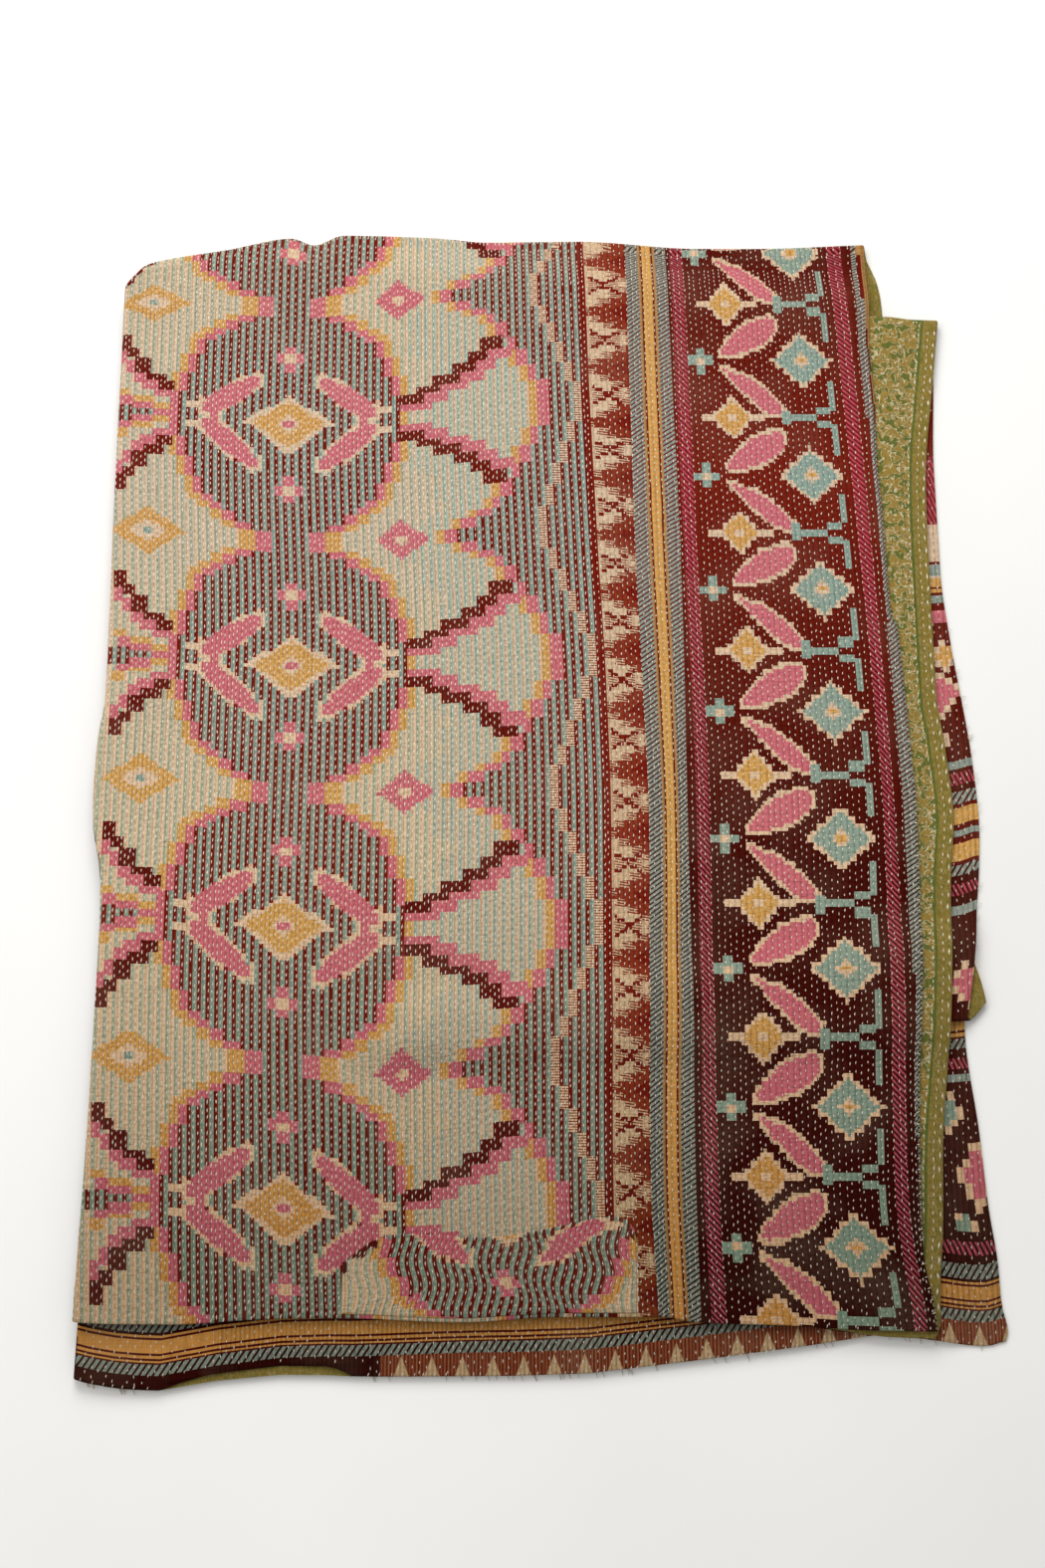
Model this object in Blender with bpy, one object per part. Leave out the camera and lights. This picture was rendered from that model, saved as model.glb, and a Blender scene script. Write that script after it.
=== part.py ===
"""A kantha quilt folded in quarters and lying flat.

The quilt is two cloths run together with rows of hand stitching: a patterned front and a printed
backing. It is folded in half at its left side, then over at its top, so that four layers lie on each
other. From the top they are: the near half face up, the far half back up, the far half face up again,
and the near half face down on the floor. The far half is a little askew inside the fold, and the
slack that this leaves is taken up by a flat tuck that opens towards its hem.

Sizes are in millimetres until the meshes are made. X runs to the right, from the side fold to the
hems, Y away from the viewer, from the hems to the top fold, and Z up from the floor.
"""

from math import cos, exp, inf, pi, radians, sin
from typing import Callable, NamedTuple

import bpy
import numpy as np

MM = 0.001

# The cloths and the height of the folded layers
CLOTH = 1.2
CLOTH_GAP = 0.3
PLY = 2 * CLOTH + CLOTH_GAP
LAYER_PITCH = 4.0
FLOOR_CLEARANCE = 0.4
FIRST_HEIGHT = PLY / 2

# The folds stand a little proud of the layers, and settle back within PUFF_REACH
SIDE_PUFF = 4.0
INNER_PUFF = 3.0
OUTER_PUFF = 4.0
PUFF_REACH = 60.0
SIDE_RADIUS = (LAYER_PITCH + SIDE_PUFF) / 2
LOWER_FOLD_INSET = 2.5

# The tuck in the far half: a Z of three layers, widest at the hem. To the left its two turns keep
# their length and open, until the cloth is flat
TUCK_RADIUS = LAYER_PITCH / 2
TUCK_ARC = pi * TUCK_RADIUS
TUCK_RETURN = 62.0
TUCK_LEAST_RETURN = 2.5
FLAT_TURN = 1e-3
TUCK_HEM_X = 410.0
TUCK_TURNED_X = -60.0
TUCK_FADED_X = -190.0
TUCK_RISE = 40.0
TUCK_CLEARANCE = 4.0

# Cloth past the hem of the layer on the floor sinks from HEM_SINK_START to HEM_SINK_END past it
HEM_SINK_START = 3.0
HEM_SINK_END = 30.0

# The outer top fold comes down past the end of the inner one over this distance
INNER_COVER_MARGIN = 5.0
INNER_COVER_FADE = 55.0

# Quilting: the rows of stitches draw the face into ribs along the quilt
RIB_PITCH = 9.7
RIB_HEIGHT = 0.7

# The patch sewn over the near layer, and the front cloth's worn hem that bares the backing
PATCH_CLOTH = 0.9
PATCH_HEM_INSET = 3.5
PATCH_ROWS = 3
WORN_HEM_DEPTH = 9.0
WORN_HEM_START = -334.0
WORN_HEM_END = -162.0
WORN_HEM_TAPER = 22.0
LOWER_HEM_INSET = 5.0

FOLD_STEPS = 6
TUCK_STEPS = 4


class Edge:
    """A fold or a hem in plan: rows of (place along it, offset), joined by straight runs."""

    def __init__(self, *rows: tuple[float, float]) -> None:
        self.along, self.offset = np.array(sorted(rows), float).T

    def __call__(self, place: float) -> float:
        return float(np.interp(place, self.along, self.offset))


# Upright edges: rows of (y, x)
SIDE_FOLD = Edge(
    (530, -419.5), (388, -419.5), (256, -418), (150, -416), (67, -415), (27, -419.5), (-23, -421),
    (-73, -418.5), (-112, -409.5), (-179, -407.5), (-318, -407.5), (-461, -409.5), (-568, -411.5),
)
NEAR_HEM = Edge(
    (567, 339), (503, 340), (444, 338), (384, 341), (326, 340), (269, 342.5), (153, 346), (141, 351),
    (92, 354), (6, 358), (-36, 360), (-146, 358), (-377, 345), (-461, 343.5), (-502, 350), (-521, 352),
)
FLOOR_HEM = Edge((575, 341), (552, 343), (531, 351), (508, 355), (485, 356), (380, 352), (-530, 352))
FAR_HEM = Edge(
    (479, 411), (413, 403), (307, 390), (252, 388), (72, 387), (22, 392), (-48, 396.5), (-103, 391),
    (-211, 384), (-290, 376.5), (-358, 368), (-439, 363), (-491, 357.5), (-521, 356), (-534, 351),
)
TUCK_UPPER_HEM = Edge(
    (479, 405), (427, 404.5), (314, 399), (205, 399), (125, 405), (67, 412), (10, 418), (-52, 421),
    (-102, 418), (-143, 413), (-194, 406.5), (-236, 399), (-246, 397),
)
TUCK_RETURN_HEM = Edge((-246, 402), (-234, 416), (-209, 412), (-193, 407), (-180, 403))
TUCK_LOWER_HEM = Edge(
    (-180, 400), (-267, 395), (-285, 396), (-344, 402), (-417, 406.5), (-472, 412), (-501, 412.5),
    (-527, 417), (-535, 414.5),
)

# Level edges: rows of (x, y)
OUTER_FOLD = Edge(
    (-420, 516), (-415, 521), (-400, 538), (-379, 545), (-318, 559), (-254, 574), (-231, 565),
    (-200, 578), (-112, 575.5), (-51, 570), (45, 571), (166, 562.5), (227, 562.5), (339, 567),
)
INNER_FOLD = Edge((-420, 505), (-400, 517), (-355, 528), (-265, 528), (-15, 509), (353, 481.5), (411, 479))
NEAR_BOTTOM = Edge(
    (-410, -520.5), (-376, -522), (-328, -522), (-233, -517), (-175, -516.5), (-70, -520), (20, -515.5),
    (110, -515.5), (139, -520), (229, -523), (281, -526.5), (351, -528),
)
FAR_BOTTOM = Edge(
    (-410, -518.5), (-315, -518), (-115, -514), (85, -511), (235, -521), (282, -529), (305, -532),
    (352, -534),
)
UNDER_BOTTOM = Edge(
    (-411, -568), (-396, -572), (-361, -577), (-330, -578), (-300, -572), (-265, -567), (-212, -564),
    (-151, -566), (1, -565), (73, -561), (140, -552), (187, -549), (230, -541), (282, -532), (302, -530),
    (334, -533), (397, -539.6), (414, -535),
)
TUCK_FRONT = Edge((-100, -262), (400, -247), (416, -242))
PATCH_TOP = Edge(
    (-175, -469), (-144, -446), (-119, -443), (-54, -446), (-3, -441), (66, -428), (84, -436), (88, -446),
)

# Columns of the cloth's mesh: how far across the flat part each one lies, from the side fold to the hem
NEAR_REACHES = (0.05, 0.135, 0.214, 0.245, 0.2845, 0.341, 0.399, 0.456, 0.56, 0.70, 0.85, 0.975, 1.0)
FAR_REACHES = (0.085, 0.125, 0.267, 0.3205, 0.375, 0.4286, 0.6, 0.76, 0.88, 0.935, 0.967, 1.0)

# The far half's hem wanders from layer to layer, and bends the cloth past this reach
HEM_STRIP = 0.75

# Rows of the near and far halves between the tuck and the top fold, as shares of that length
OPEN_SHARES = (0.13, 0.2, 0.28, 0.37, 0.5, 0.64, 0.78, 0.9, 0.97)
UNDER_SHARES = (0.04, 0.16, 0.33, 0.5, 0.67, 0.84)
RETURN_SHARES = (0.2, 0.6)


def blend(start: float, end: float, share: float) -> float:
    return start + (end - start) * share


def smooth(value: float) -> float:
    """0 below 0 and 1 above 1, with a soft start and end."""
    held = min(max(value, 0.0), 1.0)
    return held * held * (3 - 2 * held)


def swell(distance: float) -> float:
    """The puff of a fold at a distance from it, 1 at the fold."""
    return exp(-((max(distance, 0.0) / PUFF_REACH) ** 2))


class Column(NamedTuple):
    """A line of the mesh along the quilt.

    side is 1 on the near half and -1 on the far half. turn is how far it lies round the side fold
    from its tip, 90 on the flat, and reach how far across the flat part.
    """

    side: int
    turn: float
    reach: float

    @property
    def openness(self) -> float:
        return sin(radians(self.turn))

    @property
    def share(self) -> float:
        """1 on the near half, 0 on the far half, and between them round the side fold."""
        return (1 + self.side * self.openness) / 2


class Row(NamedTuple):
    """A line of the mesh across the quilt.

    half is 1 where it lies on top of the folded quilt and -1 underneath. bend is how far it lies
    round the top fold from its tip, 90 on the flat. line gives y from x and the column's share, and
    lift the height above the plain layer. far_hem gives the x of the far half's hem from y.
    """

    half: int
    bend: float
    line: Callable[[float, float], float]
    lift: Callable[[float, float], float]
    far_hem: Callable[[float], float]

    @property
    def under(self) -> float:
        """0 on top, 1 underneath, and between them round the top fold."""
        return (1 - self.half * sin(radians(self.bend))) / 2


def no_lift(x: float, share: float) -> float:
    return 0.0


def tuck_return(x: float) -> float:
    share = (x - TUCK_TURNED_X) / (TUCK_HEM_X - TUCK_TURNED_X)
    return blend(TUCK_LEAST_RETURN, TUCK_RETURN, min(max(share, 0.0), 1.0))


def tuck_turn(x: float, share: float = 0.0) -> float:
    """How far the cloth turns in the tuck: pi where it lies folded, and near 0 where it has opened."""
    closed = (x - TUCK_FADED_X) / (TUCK_TURNED_X - TUCK_FADED_X) if share < 0.5 else 0.0
    return pi * min(max(closed, FLAT_TURN), 1.0)


def tuck_height(x: float, share: float = 0.0) -> float:
    """How much higher the cloth lies at the crest of the tuck than beside it."""
    turn = tuck_turn(x, share)
    return 2 * TUCK_ARC / turn * (1 - cos(turn)) + tuck_return(x) * sin(turn)


def tuck_back(x: float) -> float:
    return TUCK_FRONT(x) + 2 * TUCK_RADIUS + tuck_return(x)


# The four lines where the layers over the tuck start to rise, are up, start to fall and are down
def rise_start(x: float, share: float = 0.0) -> float:
    return tuck_back(x) + TUCK_CLEARANCE + TUCK_RISE


def rise_end(x: float, share: float = 0.0) -> float:
    return tuck_back(x) + TUCK_CLEARANCE


def fall_start(x: float, share: float = 0.0) -> float:
    return TUCK_FRONT(x) - TUCK_CLEARANCE


def fall_end(x: float, share: float = 0.0) -> float:
    return TUCK_FRONT(x) - TUCK_CLEARANCE - TUCK_RISE


def over_tuck(x: float, y: float) -> float:
    """How much higher a layer lies where it passes over the tuck."""
    up = smooth((rise_start(x) - y) / TUCK_RISE)
    down = smooth((y - fall_end(x)) / TUCK_RISE)
    return tuck_height(x) * min(up, down)


def soft_waves(x: float, y: float) -> float:
    """The slight unevenness of the layers above the floor."""
    return 0.5 + 0.3 * sin(x / 64 + 0.5) * sin(y / 75 + 1.1) + 0.2 * sin(x / 118 - y / 97)


def under_height(x: float, y: float) -> float:
    """Mid height of the far half where it lies on the layer on the floor, tuck left out."""
    past = x - FLOOR_HEM(y)
    held = 1 - smooth((past - HEM_SINK_START) / (HEM_SINK_END - HEM_SINK_START))
    resting = FIRST_HEIGHT + FLOOR_CLEARANCE + (LAYER_PITCH - FLOOR_CLEARANCE + soft_waves(x, y)) * held
    return resting + SIDE_PUFF * swell(x - SIDE_FOLD(y))


def far_height(x: float, y: float) -> float:
    """Mid height of the far half where it lies back up."""
    inner = swell(INNER_FOLD(x) - y)
    return under_height(x, y) + over_tuck(x, y) + LAYER_PITCH + INNER_PUFF * inner


def near_height(x: float, y: float) -> float:
    """Mid height of the near half on top of the folded quilt."""
    past = y - INNER_FOLD(x) - INNER_COVER_MARGIN
    covered = 1 - smooth(past / INNER_COVER_FADE)
    below = far_height(x, min(y, INNER_FOLD(x))) - FIRST_HEIGHT
    puff = SIDE_PUFF * swell(x - SIDE_FOLD(y)) + OUTER_PUFF * swell(OUTER_FOLD(x) - y)
    return FIRST_HEIGHT + LAYER_PITCH + below * covered + puff


def layer_height(column: Column, half: int, x: float, y: float) -> float:
    """Mid height of a column's plain layer, above or below the top fold."""
    if half > 0:
        near, far = near_height(x, y), far_height(x, y)
    else:
        near, far = FIRST_HEIGHT, under_height(x, y)
    return blend(far, near, column.share)


def top_fold(x: float, share: float) -> float:
    return blend(INNER_FOLD(x), OUTER_FOLD(x), share)


def fold_radius(column: Column, x: float, y: float) -> float:
    return (layer_height(column, 1, x, y) - layer_height(column, -1, x, y)) / 2


def across(column: Column, row: Row, y: float) -> float:
    """x of a column where it crosses y."""
    start = SIDE_FOLD(y) + LOWER_FOLD_INSET * row.under
    if column.turn < 90:
        return start + SIDE_RADIUS * (1 - cos(radians(column.turn)))
    if column.side < 0:
        hem = blend(TUCK_UPPER_HEM(y), row.far_hem(y), smooth((column.reach - HEM_STRIP) / (1 - HEM_STRIP)))
    else:
        hem = blend(NEAR_HEM(y), FLOOR_HEM(y), row.under)
    return blend(start + SIDE_RADIUS, hem, column.reach)


def place(column: Column, row: Row) -> tuple[float, float, float]:
    """The point of the cloth's middle where a column and a row meet."""
    y = row.line(0.0, column.share)
    for _ in range(6):
        x = across(column, row, y)
        y = row.line(x, column.share)
    if row.bend == 90:
        return x, y, layer_height(column, row.half, x, y) + row.lift(x, column.share)
    fold = top_fold(x, column.share)
    radius = fold_radius(column, x, fold)
    middle = layer_height(column, -1, x, fold) + radius
    y = fold - radius * (1 - cos(radians(row.bend)))
    return x, y, middle + row.half * radius * sin(radians(row.bend))


def run(half: int, start: Callable, end: Callable, shares, far_hem: Callable, lift=no_lift) -> list[Row]:
    """Flat rows at these shares of the way from one line to another."""

    def between(share: float) -> Callable[[float, float], float]:
        return lambda x, side: blend(start(x, side), end(x, side), share)

    return [Row(half, 90, between(share), lift, far_hem) for share in shares]


def near_bottom(x: float, share: float) -> float:
    return blend(FAR_BOTTOM(x), NEAR_BOTTOM(x), share)


def under_bottom(x: float, share: float) -> float:
    return UNDER_BOTTOM(x) + LOWER_HEM_INSET * smooth(2 * share - 1)


def fold_start(x: float, share: float) -> float:
    """The near end of the top fold's curve."""
    radius = blend((LAYER_PITCH + INNER_PUFF) / 2, 2 * LAYER_PITCH, share)
    return top_fold(x, share) - radius


def tuck_row(front: float, back: float, rear: float, far_hem: Callable[[float], float]) -> Row:
    """A row of the tuck, at a share of its front turn, then of its return, then of its rear turn."""

    def line(x: float, share: float) -> float:
        turn = tuck_turn(x, share)
        radius = TUCK_ARC / turn
        turns = sin(turn * front) + (sin(turn) - sin(turn * (1 - rear)) if rear else 0.0)
        return TUCK_FRONT(x) + TUCK_RADIUS - radius * turns - back * tuck_return(x) * cos(turn)

    def lift(x: float, share: float) -> float:
        turn = tuck_turn(x, share)
        radius = TUCK_ARC / turn
        drops = 1 - cos(turn * front) + (cos(turn * (1 - rear)) - cos(turn) if rear else 0.0)
        return tuck_height(x, share) - radius * drops - back * tuck_return(x) * sin(turn)

    return Row(-1, 90, line, lift, far_hem)


def tuck_rows() -> list[Row]:
    """The tuck's front turn, its return and its rear turn."""

    def hem_between(start: Edge, end: Edge, share: float) -> Callable[[float], float]:
        return lambda y: blend(start(y), end(y), share)

    steps = [step / TUCK_STEPS for step in range(TUCK_STEPS + 1)]
    rows = [tuck_row(done, 0, 0, hem_between(TUCK_UPPER_HEM, TUCK_RETURN_HEM, done)) for done in steps]
    rows += [tuck_row(1, back, 0, TUCK_RETURN_HEM) for back in RETURN_SHARES]
    rows += [tuck_row(1, 1, done, hem_between(TUCK_RETURN_HEM, TUCK_LOWER_HEM, done)) for done in steps]
    return rows


def mesh_rows() -> list[Row]:
    """All rows, from the near hem over the top fold to the hem underneath."""

    def landing(x: float, share: float) -> float:
        return last.line(x, share)

    rows = run(1, near_bottom, fall_end, (0.0, 0.012, 0.5, 1.0), FAR_HEM)
    rows += run(1, fall_start, rise_end, (0.0, 1.0), FAR_HEM)
    rows += run(1, rise_start, fold_start, (0.0,), FAR_HEM)
    rows += run(1, rise_start, fold_start, OPEN_SHARES, FAR_HEM)
    for step in range(FOLD_STEPS + 1):
        angle = 90 - 180 * step / FOLD_STEPS
        bend = min(abs(angle), 89.999)
        rows.append(Row(1 if angle >= 0 else -1, bend, top_fold, no_lift, FAR_HEM))
    upper = run(-1, fold_start, rise_start, UNDER_SHARES, TUCK_UPPER_HEM)
    upper += run(-1, rise_start, rise_end, (0.0,), TUCK_UPPER_HEM)
    upper += run(-1, rise_end, rise_end, (0.0,), TUCK_UPPER_HEM, tuck_height)
    tuck = tuck_rows()
    last = tuck[-1]
    lower = run(-1, landing, under_bottom, (0.18, 0.38, 0.6, 0.8, 0.95, 1.0), TUCK_LOWER_HEM)
    return rows + upper + tuck + lower


def mesh_columns() -> list[Column]:
    """All columns, from the far half's hem round the side fold to the near half's hem."""
    far = [Column(-1, 90, reach) for reach in reversed(FAR_REACHES)]
    turns = [180 * step / FOLD_STEPS - 90 for step in range(FOLD_STEPS + 1)]
    fold = [Column(1 if turn >= 0 else -1, abs(turn), 0.0) for turn in turns]
    near = [Column(1, 90, reach) for reach in NEAR_REACHES]
    return far + fold + near


def crossed_cells(grid: np.ndarray) -> np.ndarray:
    """Which cells are cut along their other diagonal: of the two, each is cut along the lower one."""
    height = grid[:, :, 2]
    return height[:-1, :-1] + height[1:, 1:] > height[1:, :-1] + height[:-1, 1:]


def grid_normals(grid: np.ndarray) -> np.ndarray:
    """The way the patterned face looks at each point, from the facets around it."""
    first = grid[1:, 1:] - grid[:-1, :-1]
    second = grid[:-1, 1:] - grid[1:, :-1]
    facets = np.cross(first, second)
    facets /= np.linalg.norm(facets, axis=2, keepdims=True)
    total = np.zeros_like(grid)
    for part in (np.s_[:-1, :-1], np.s_[1:, :-1], np.s_[:-1, 1:], np.s_[1:, 1:]):
        total[part] += facets
    return total / np.linalg.norm(total, axis=2, keepdims=True)


class Shell:
    """Collects points and faces of one closed solid."""

    def __init__(self) -> None:
        self.points: list[np.ndarray] = []
        self.faces: list[tuple[int, ...]] = []

    def add_grid(self, grid: np.ndarray) -> np.ndarray:
        """Adds a grid's points and returns their numbers in the same layout."""
        first = len(self.points)
        self.points.extend(grid.reshape(-1, 3))
        return np.arange(first, len(self.points)).reshape(grid.shape[:2])

    def sheet(self, index: np.ndarray, crossed: np.ndarray, flip: bool) -> None:
        """Two triangles for each cell of a grid, cut along its other diagonal where it is crossed."""
        for i, j in np.ndindex(index.shape[0] - 1, index.shape[1] - 1):
            ring = [index[i, j], index[i + 1, j], index[i + 1, j + 1], index[i, j + 1]]
            if crossed[i, j]:
                ring = ring[1:] + ring[:1]
            self.triangle(ring[0], ring[1], ring[2], flip)
            self.triangle(ring[0], ring[2], ring[3], flip)

    def triangle(self, a: int, b: int, c: int, flip: bool) -> None:
        self.faces.append((int(a), int(c), int(b)) if flip else (int(a), int(b), int(c)))

    def zip_rows(self, lower: list[int], upper: list[int], flip: bool) -> None:
        """Triangles between two rows of points that both run to the right, with different counts."""
        i = j = 0
        while i < len(lower) - 1 or j < len(upper) - 1:
            next_lower = self.points[lower[i + 1]][0] if i < len(lower) - 1 else inf
            next_upper = self.points[upper[j + 1]][0] if j < len(upper) - 1 else inf
            if next_lower <= next_upper:
                self.triangle(lower[i], lower[i + 1], upper[j], flip)
                i += 1
            else:
                self.triangle(lower[i], upper[j + 1], upper[j], flip)
                j += 1

    def rim(self, top: np.ndarray, bottom: np.ndarray) -> None:
        """The wall between the borders of two grids of the same size."""
        loops = [
            np.concatenate([index[:-1, 0], index[-1, :-1], index[:0:-1, -1], index[0, :0:-1]])
            for index in (top, bottom)
        ]
        count = len(loops[0])
        for number in range(count):
            following = (number + 1) % count
            a, b = loops[0][number], loops[0][following]
            c, d = loops[1][following], loops[1][number]
            self.triangle(a, b, c, True)
            self.triangle(a, c, d, True)


def finish(points: list[np.ndarray], faces: list, name: str, colour: tuple, roughness: float):
    """A named object with its own material, in metres, of the points that its faces use."""
    used, numbers = np.unique(np.array(faces), return_inverse=True)
    mesh = bpy.data.meshes.new(name)
    mesh.from_pydata((np.array(points)[used] * MM).tolist(), [], numbers.reshape(-1, 3).tolist())
    mesh.shade_smooth()
    mesh.set_sharp_from_angle(angle=radians(40))
    material = bpy.data.materials.new(name)
    material.use_nodes = True
    shader = material.node_tree.nodes["Principled BSDF"]
    shader.inputs["Base Color"].default_value = (*colour, 1.0)
    shader.inputs["Roughness"].default_value = roughness
    shader.inputs["Metallic"].default_value = 0.0
    mesh.materials.append(material)
    made = bpy.data.objects.new(name, mesh)
    bpy.context.scene.collection.objects.link(made)
    return made


def ribs(place_across: np.ndarray) -> np.ndarray:
    """Height of the quilting's ribs, at points counted in half ribs."""
    return RIB_HEIGHT / 2 * np.where(place_across % 2 == 0, -1.0, 1.0)


def ribbed_face(outer: np.ndarray, columns: list[Column], rows: list[Row]):
    """The part of the near half's face that is ribbed, as finer points on the same rows.

    Returns the points, and the columns and rows of the coarse grid that bound them.
    """
    first = len(columns) - len(NEAR_REACHES)
    last = len(columns) - 2
    bottom = 1
    top = max(j for j, row in enumerate(rows) if row.half > 0 and row.bend == 90)
    block = outer[first : last + 1, bottom : top + 1]
    widths = np.linalg.norm(np.diff(block, axis=0), axis=2).mean(axis=1)
    along = np.concatenate([[0.0], np.cumsum(widths)])
    count = 2 * round(along[-1] / RIB_PITCH)
    stations = np.linspace(0.0, along[-1], count + 1)
    fine = np.empty((count + 1, block.shape[1], 3))
    for j in range(block.shape[1]):
        for axis in range(3):
            fine[:, j, axis] = np.interp(stations, along, block[:, j, axis])
    fine[1:-1, :, 2] += ribs(np.arange(1, count))[:, None]
    return fine, (first, last), (bottom, top)


def front_cloth(grid: np.ndarray, normals: np.ndarray, crossed: np.ndarray, columns, rows):
    """The patterned cloth, with its ribs raised on the near half's face."""
    worn = grid.copy()
    for i, column in enumerate(columns):
        x = grid[i, -1, 0]
        within = min(x - WORN_HEM_START, WORN_HEM_END - x)
        bared = smooth(within / WORN_HEM_TAPER)
        if column.side < 0:
            back = worn[i, -2] - worn[i, -1]
            worn[i, -1] += back / np.linalg.norm(back) * WORN_HEM_DEPTH * bared
    shell = Shell()
    inner = shell.add_grid(worn + normals * (CLOTH_GAP / 2))
    outer_points = worn + normals * (CLOTH_GAP / 2 + CLOTH)
    outer = shell.add_grid(outer_points)
    shell.sheet(inner, crossed, True)
    shell.rim(outer, inner)
    fine_points, (first, last), (bottom, top) = ribbed_face(outer_points, columns, rows)
    fine = shell.add_grid(fine_points)
    fine[0] = outer[first, bottom : top + 1]
    fine[-1] = outer[last, bottom : top + 1]
    shell.sheet(outer[: first + 1], crossed[:first], False)
    shell.sheet(outer[last:], crossed[last:], False)
    shell.sheet(outer[first : last + 1, top + 1 :], crossed[first:last, top + 1 :], False)
    shell.sheet(fine, np.ones(fine.shape, bool), False)
    shell.zip_rows(list(outer[first : last + 1, bottom - 1]), list(fine[:, 0]), False)
    shell.zip_rows(list(fine[:, -1]), list(outer[first : last + 1, top + 1]), False)
    return shell, fine_points


def back_cloth(grid: np.ndarray, normals: np.ndarray, crossed: np.ndarray) -> Shell:
    """The printed backing, on the other side of the same surface."""
    shell = Shell()
    outer = shell.add_grid(grid - normals * (CLOTH_GAP / 2))
    inner = shell.add_grid(grid - normals * (CLOTH_GAP / 2 + CLOTH))
    shell.sheet(outer, crossed, False)
    shell.sheet(inner, crossed, True)
    shell.rim(outer, inner)
    return shell


def patch(face: np.ndarray) -> Shell:
    """The patch, laid on the ribs of the near half's face beside its bottom hem."""
    inside = [
        column for column in face
        if PATCH_TOP.along[0] <= column[0, 0] <= PATCH_TOP.along[-1]
    ]
    base = np.empty((len(inside), PATCH_ROWS + 1, 3))
    for i, column in enumerate(inside):
        x = column[0, 0]
        bottom = NEAR_BOTTOM(x) + PATCH_HEM_INSET
        for j in range(PATCH_ROWS + 1):
            y = blend(bottom, PATCH_TOP(x), j / PATCH_ROWS)
            for axis in range(3):
                base[i, j, axis] = np.interp(y, column[:, 1], column[:, axis])
            base[i, j, 1] = y
    shell = Shell()
    upper = shell.add_grid(base + (0, 0, CLOTH_GAP + PATCH_CLOTH))
    lower = shell.add_grid(base + (0, 0, CLOTH_GAP))
    for index, flip in ((upper, False), (lower, True)):
        shell.sheet(index, np.ones(index.shape, bool), flip)
    shell.rim(upper, lower)
    return shell


def build() -> None:
    """Clears the scene and makes the three cloths, centred on the floor."""
    for old in list(bpy.data.objects):
        bpy.data.objects.remove(old)
    columns, rows = mesh_columns(), mesh_rows()
    grid = np.array([[place(column, row) for row in rows] for column in columns])
    normals = grid_normals(grid)
    crossed = crossed_cells(grid)
    front, face = front_cloth(grid, normals, crossed, columns, rows)
    shells = {
        "front_cloth": (front, (0.19, 0.055, 0.045), 0.85),
        "back_cloth": (back_cloth(grid, normals, crossed), (0.23, 0.19, 0.03), 0.85),
        "patch": (patch(face), (0.35, 0.33, 0.25), 0.85),
    }
    every = np.concatenate([np.array(shell.points) for shell, _, _ in shells.values()])
    middle = (every.min(axis=0) + every.max(axis=0)) / 2
    middle[2] = 0.0
    for name, (shell, colour, roughness) in shells.items():
        finish([point - middle for point in shell.points], shell.faces, name, colour, roughness)


build()
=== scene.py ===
"""A kantha quilt folded in quarters, as it is seen: dyed cloths, stitch rows, patch and frayed hems.

The quilt is two cloths run together. It is folded in half at its left side and then over at its top,
so four layers lie on each other. This script gives each cloth its finely cut surface on the same folds
as the solids, dyes it, and sews it.

Plan sizes are in millimetres until the meshes are made. X runs to the right, from the side fold to the
hems, Y away from the viewer, from the hems to the top fold, and Z up from the floor.
"""

import logging
import math
from dataclasses import dataclass, field
from enum import Enum
from typing import Callable

import bpy
import numpy as np
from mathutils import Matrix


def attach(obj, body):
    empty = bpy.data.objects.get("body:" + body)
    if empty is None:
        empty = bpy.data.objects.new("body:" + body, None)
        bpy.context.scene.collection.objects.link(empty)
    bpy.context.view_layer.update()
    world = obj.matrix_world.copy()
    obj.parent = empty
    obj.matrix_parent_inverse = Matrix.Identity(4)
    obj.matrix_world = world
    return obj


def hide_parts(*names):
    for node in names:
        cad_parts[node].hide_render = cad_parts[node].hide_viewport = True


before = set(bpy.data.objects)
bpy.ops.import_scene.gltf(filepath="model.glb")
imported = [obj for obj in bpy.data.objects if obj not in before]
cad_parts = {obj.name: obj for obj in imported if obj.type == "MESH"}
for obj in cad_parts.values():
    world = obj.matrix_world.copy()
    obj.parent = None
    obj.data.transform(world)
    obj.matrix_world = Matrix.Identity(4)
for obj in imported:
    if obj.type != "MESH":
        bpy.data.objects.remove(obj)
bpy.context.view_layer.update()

LOG = logging.getLogger("kantha_quilt")

Array = np.ndarray
Mesh, Piece, Material = bpy.types.Mesh, bpy.types.Object, bpy.types.Material
Tree, Socket = bpy.types.NodeTree, bpy.types.NodeSocket
# Stitches: their middles, the way each runs, and the way the cloth faces there
Stitches = tuple[Array, Array, Array]

MM = 0.001

# Half the thickness of the two cloths and the air between them, one layer on the next, and off the floor
HALF_PLY = 1.35
LAYER_PITCH = 4.0
FLOOR_CLEARANCE = 0.4
# How much higher the folds puff up, how far in that reaches, and the side fold's curve
SIDE_PUFF = 4.0
INNER_PUFF = 3.0
OUTER_PUFF = 4.0
PUFF_REACH = 60.0
SIDE_RADIUS = (LAYER_PITCH + SIDE_PUFF) / 2
SIDE_ARC = math.pi * SIDE_RADIUS
LOWER_FOLD_INSET = 2.5
# The flat tuck at the right: its turns and return, and the x of its hem, where it is closed and where it ends
TUCK_RADIUS = LAYER_PITCH / 2
TUCK_ARC = math.pi * TUCK_RADIUS
TUCK_RETURN = 62.0
TUCK_LEAST_RETURN = 2.5
FLAT_TURN = 1e-3
TUCK_HEM_X = 410.0
TUCK_TURNED_X = -60.0
TUCK_FADED_X = -190.0
TUCK_RISE = 40.0
TUCK_CLEARANCE = 4.0
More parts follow.
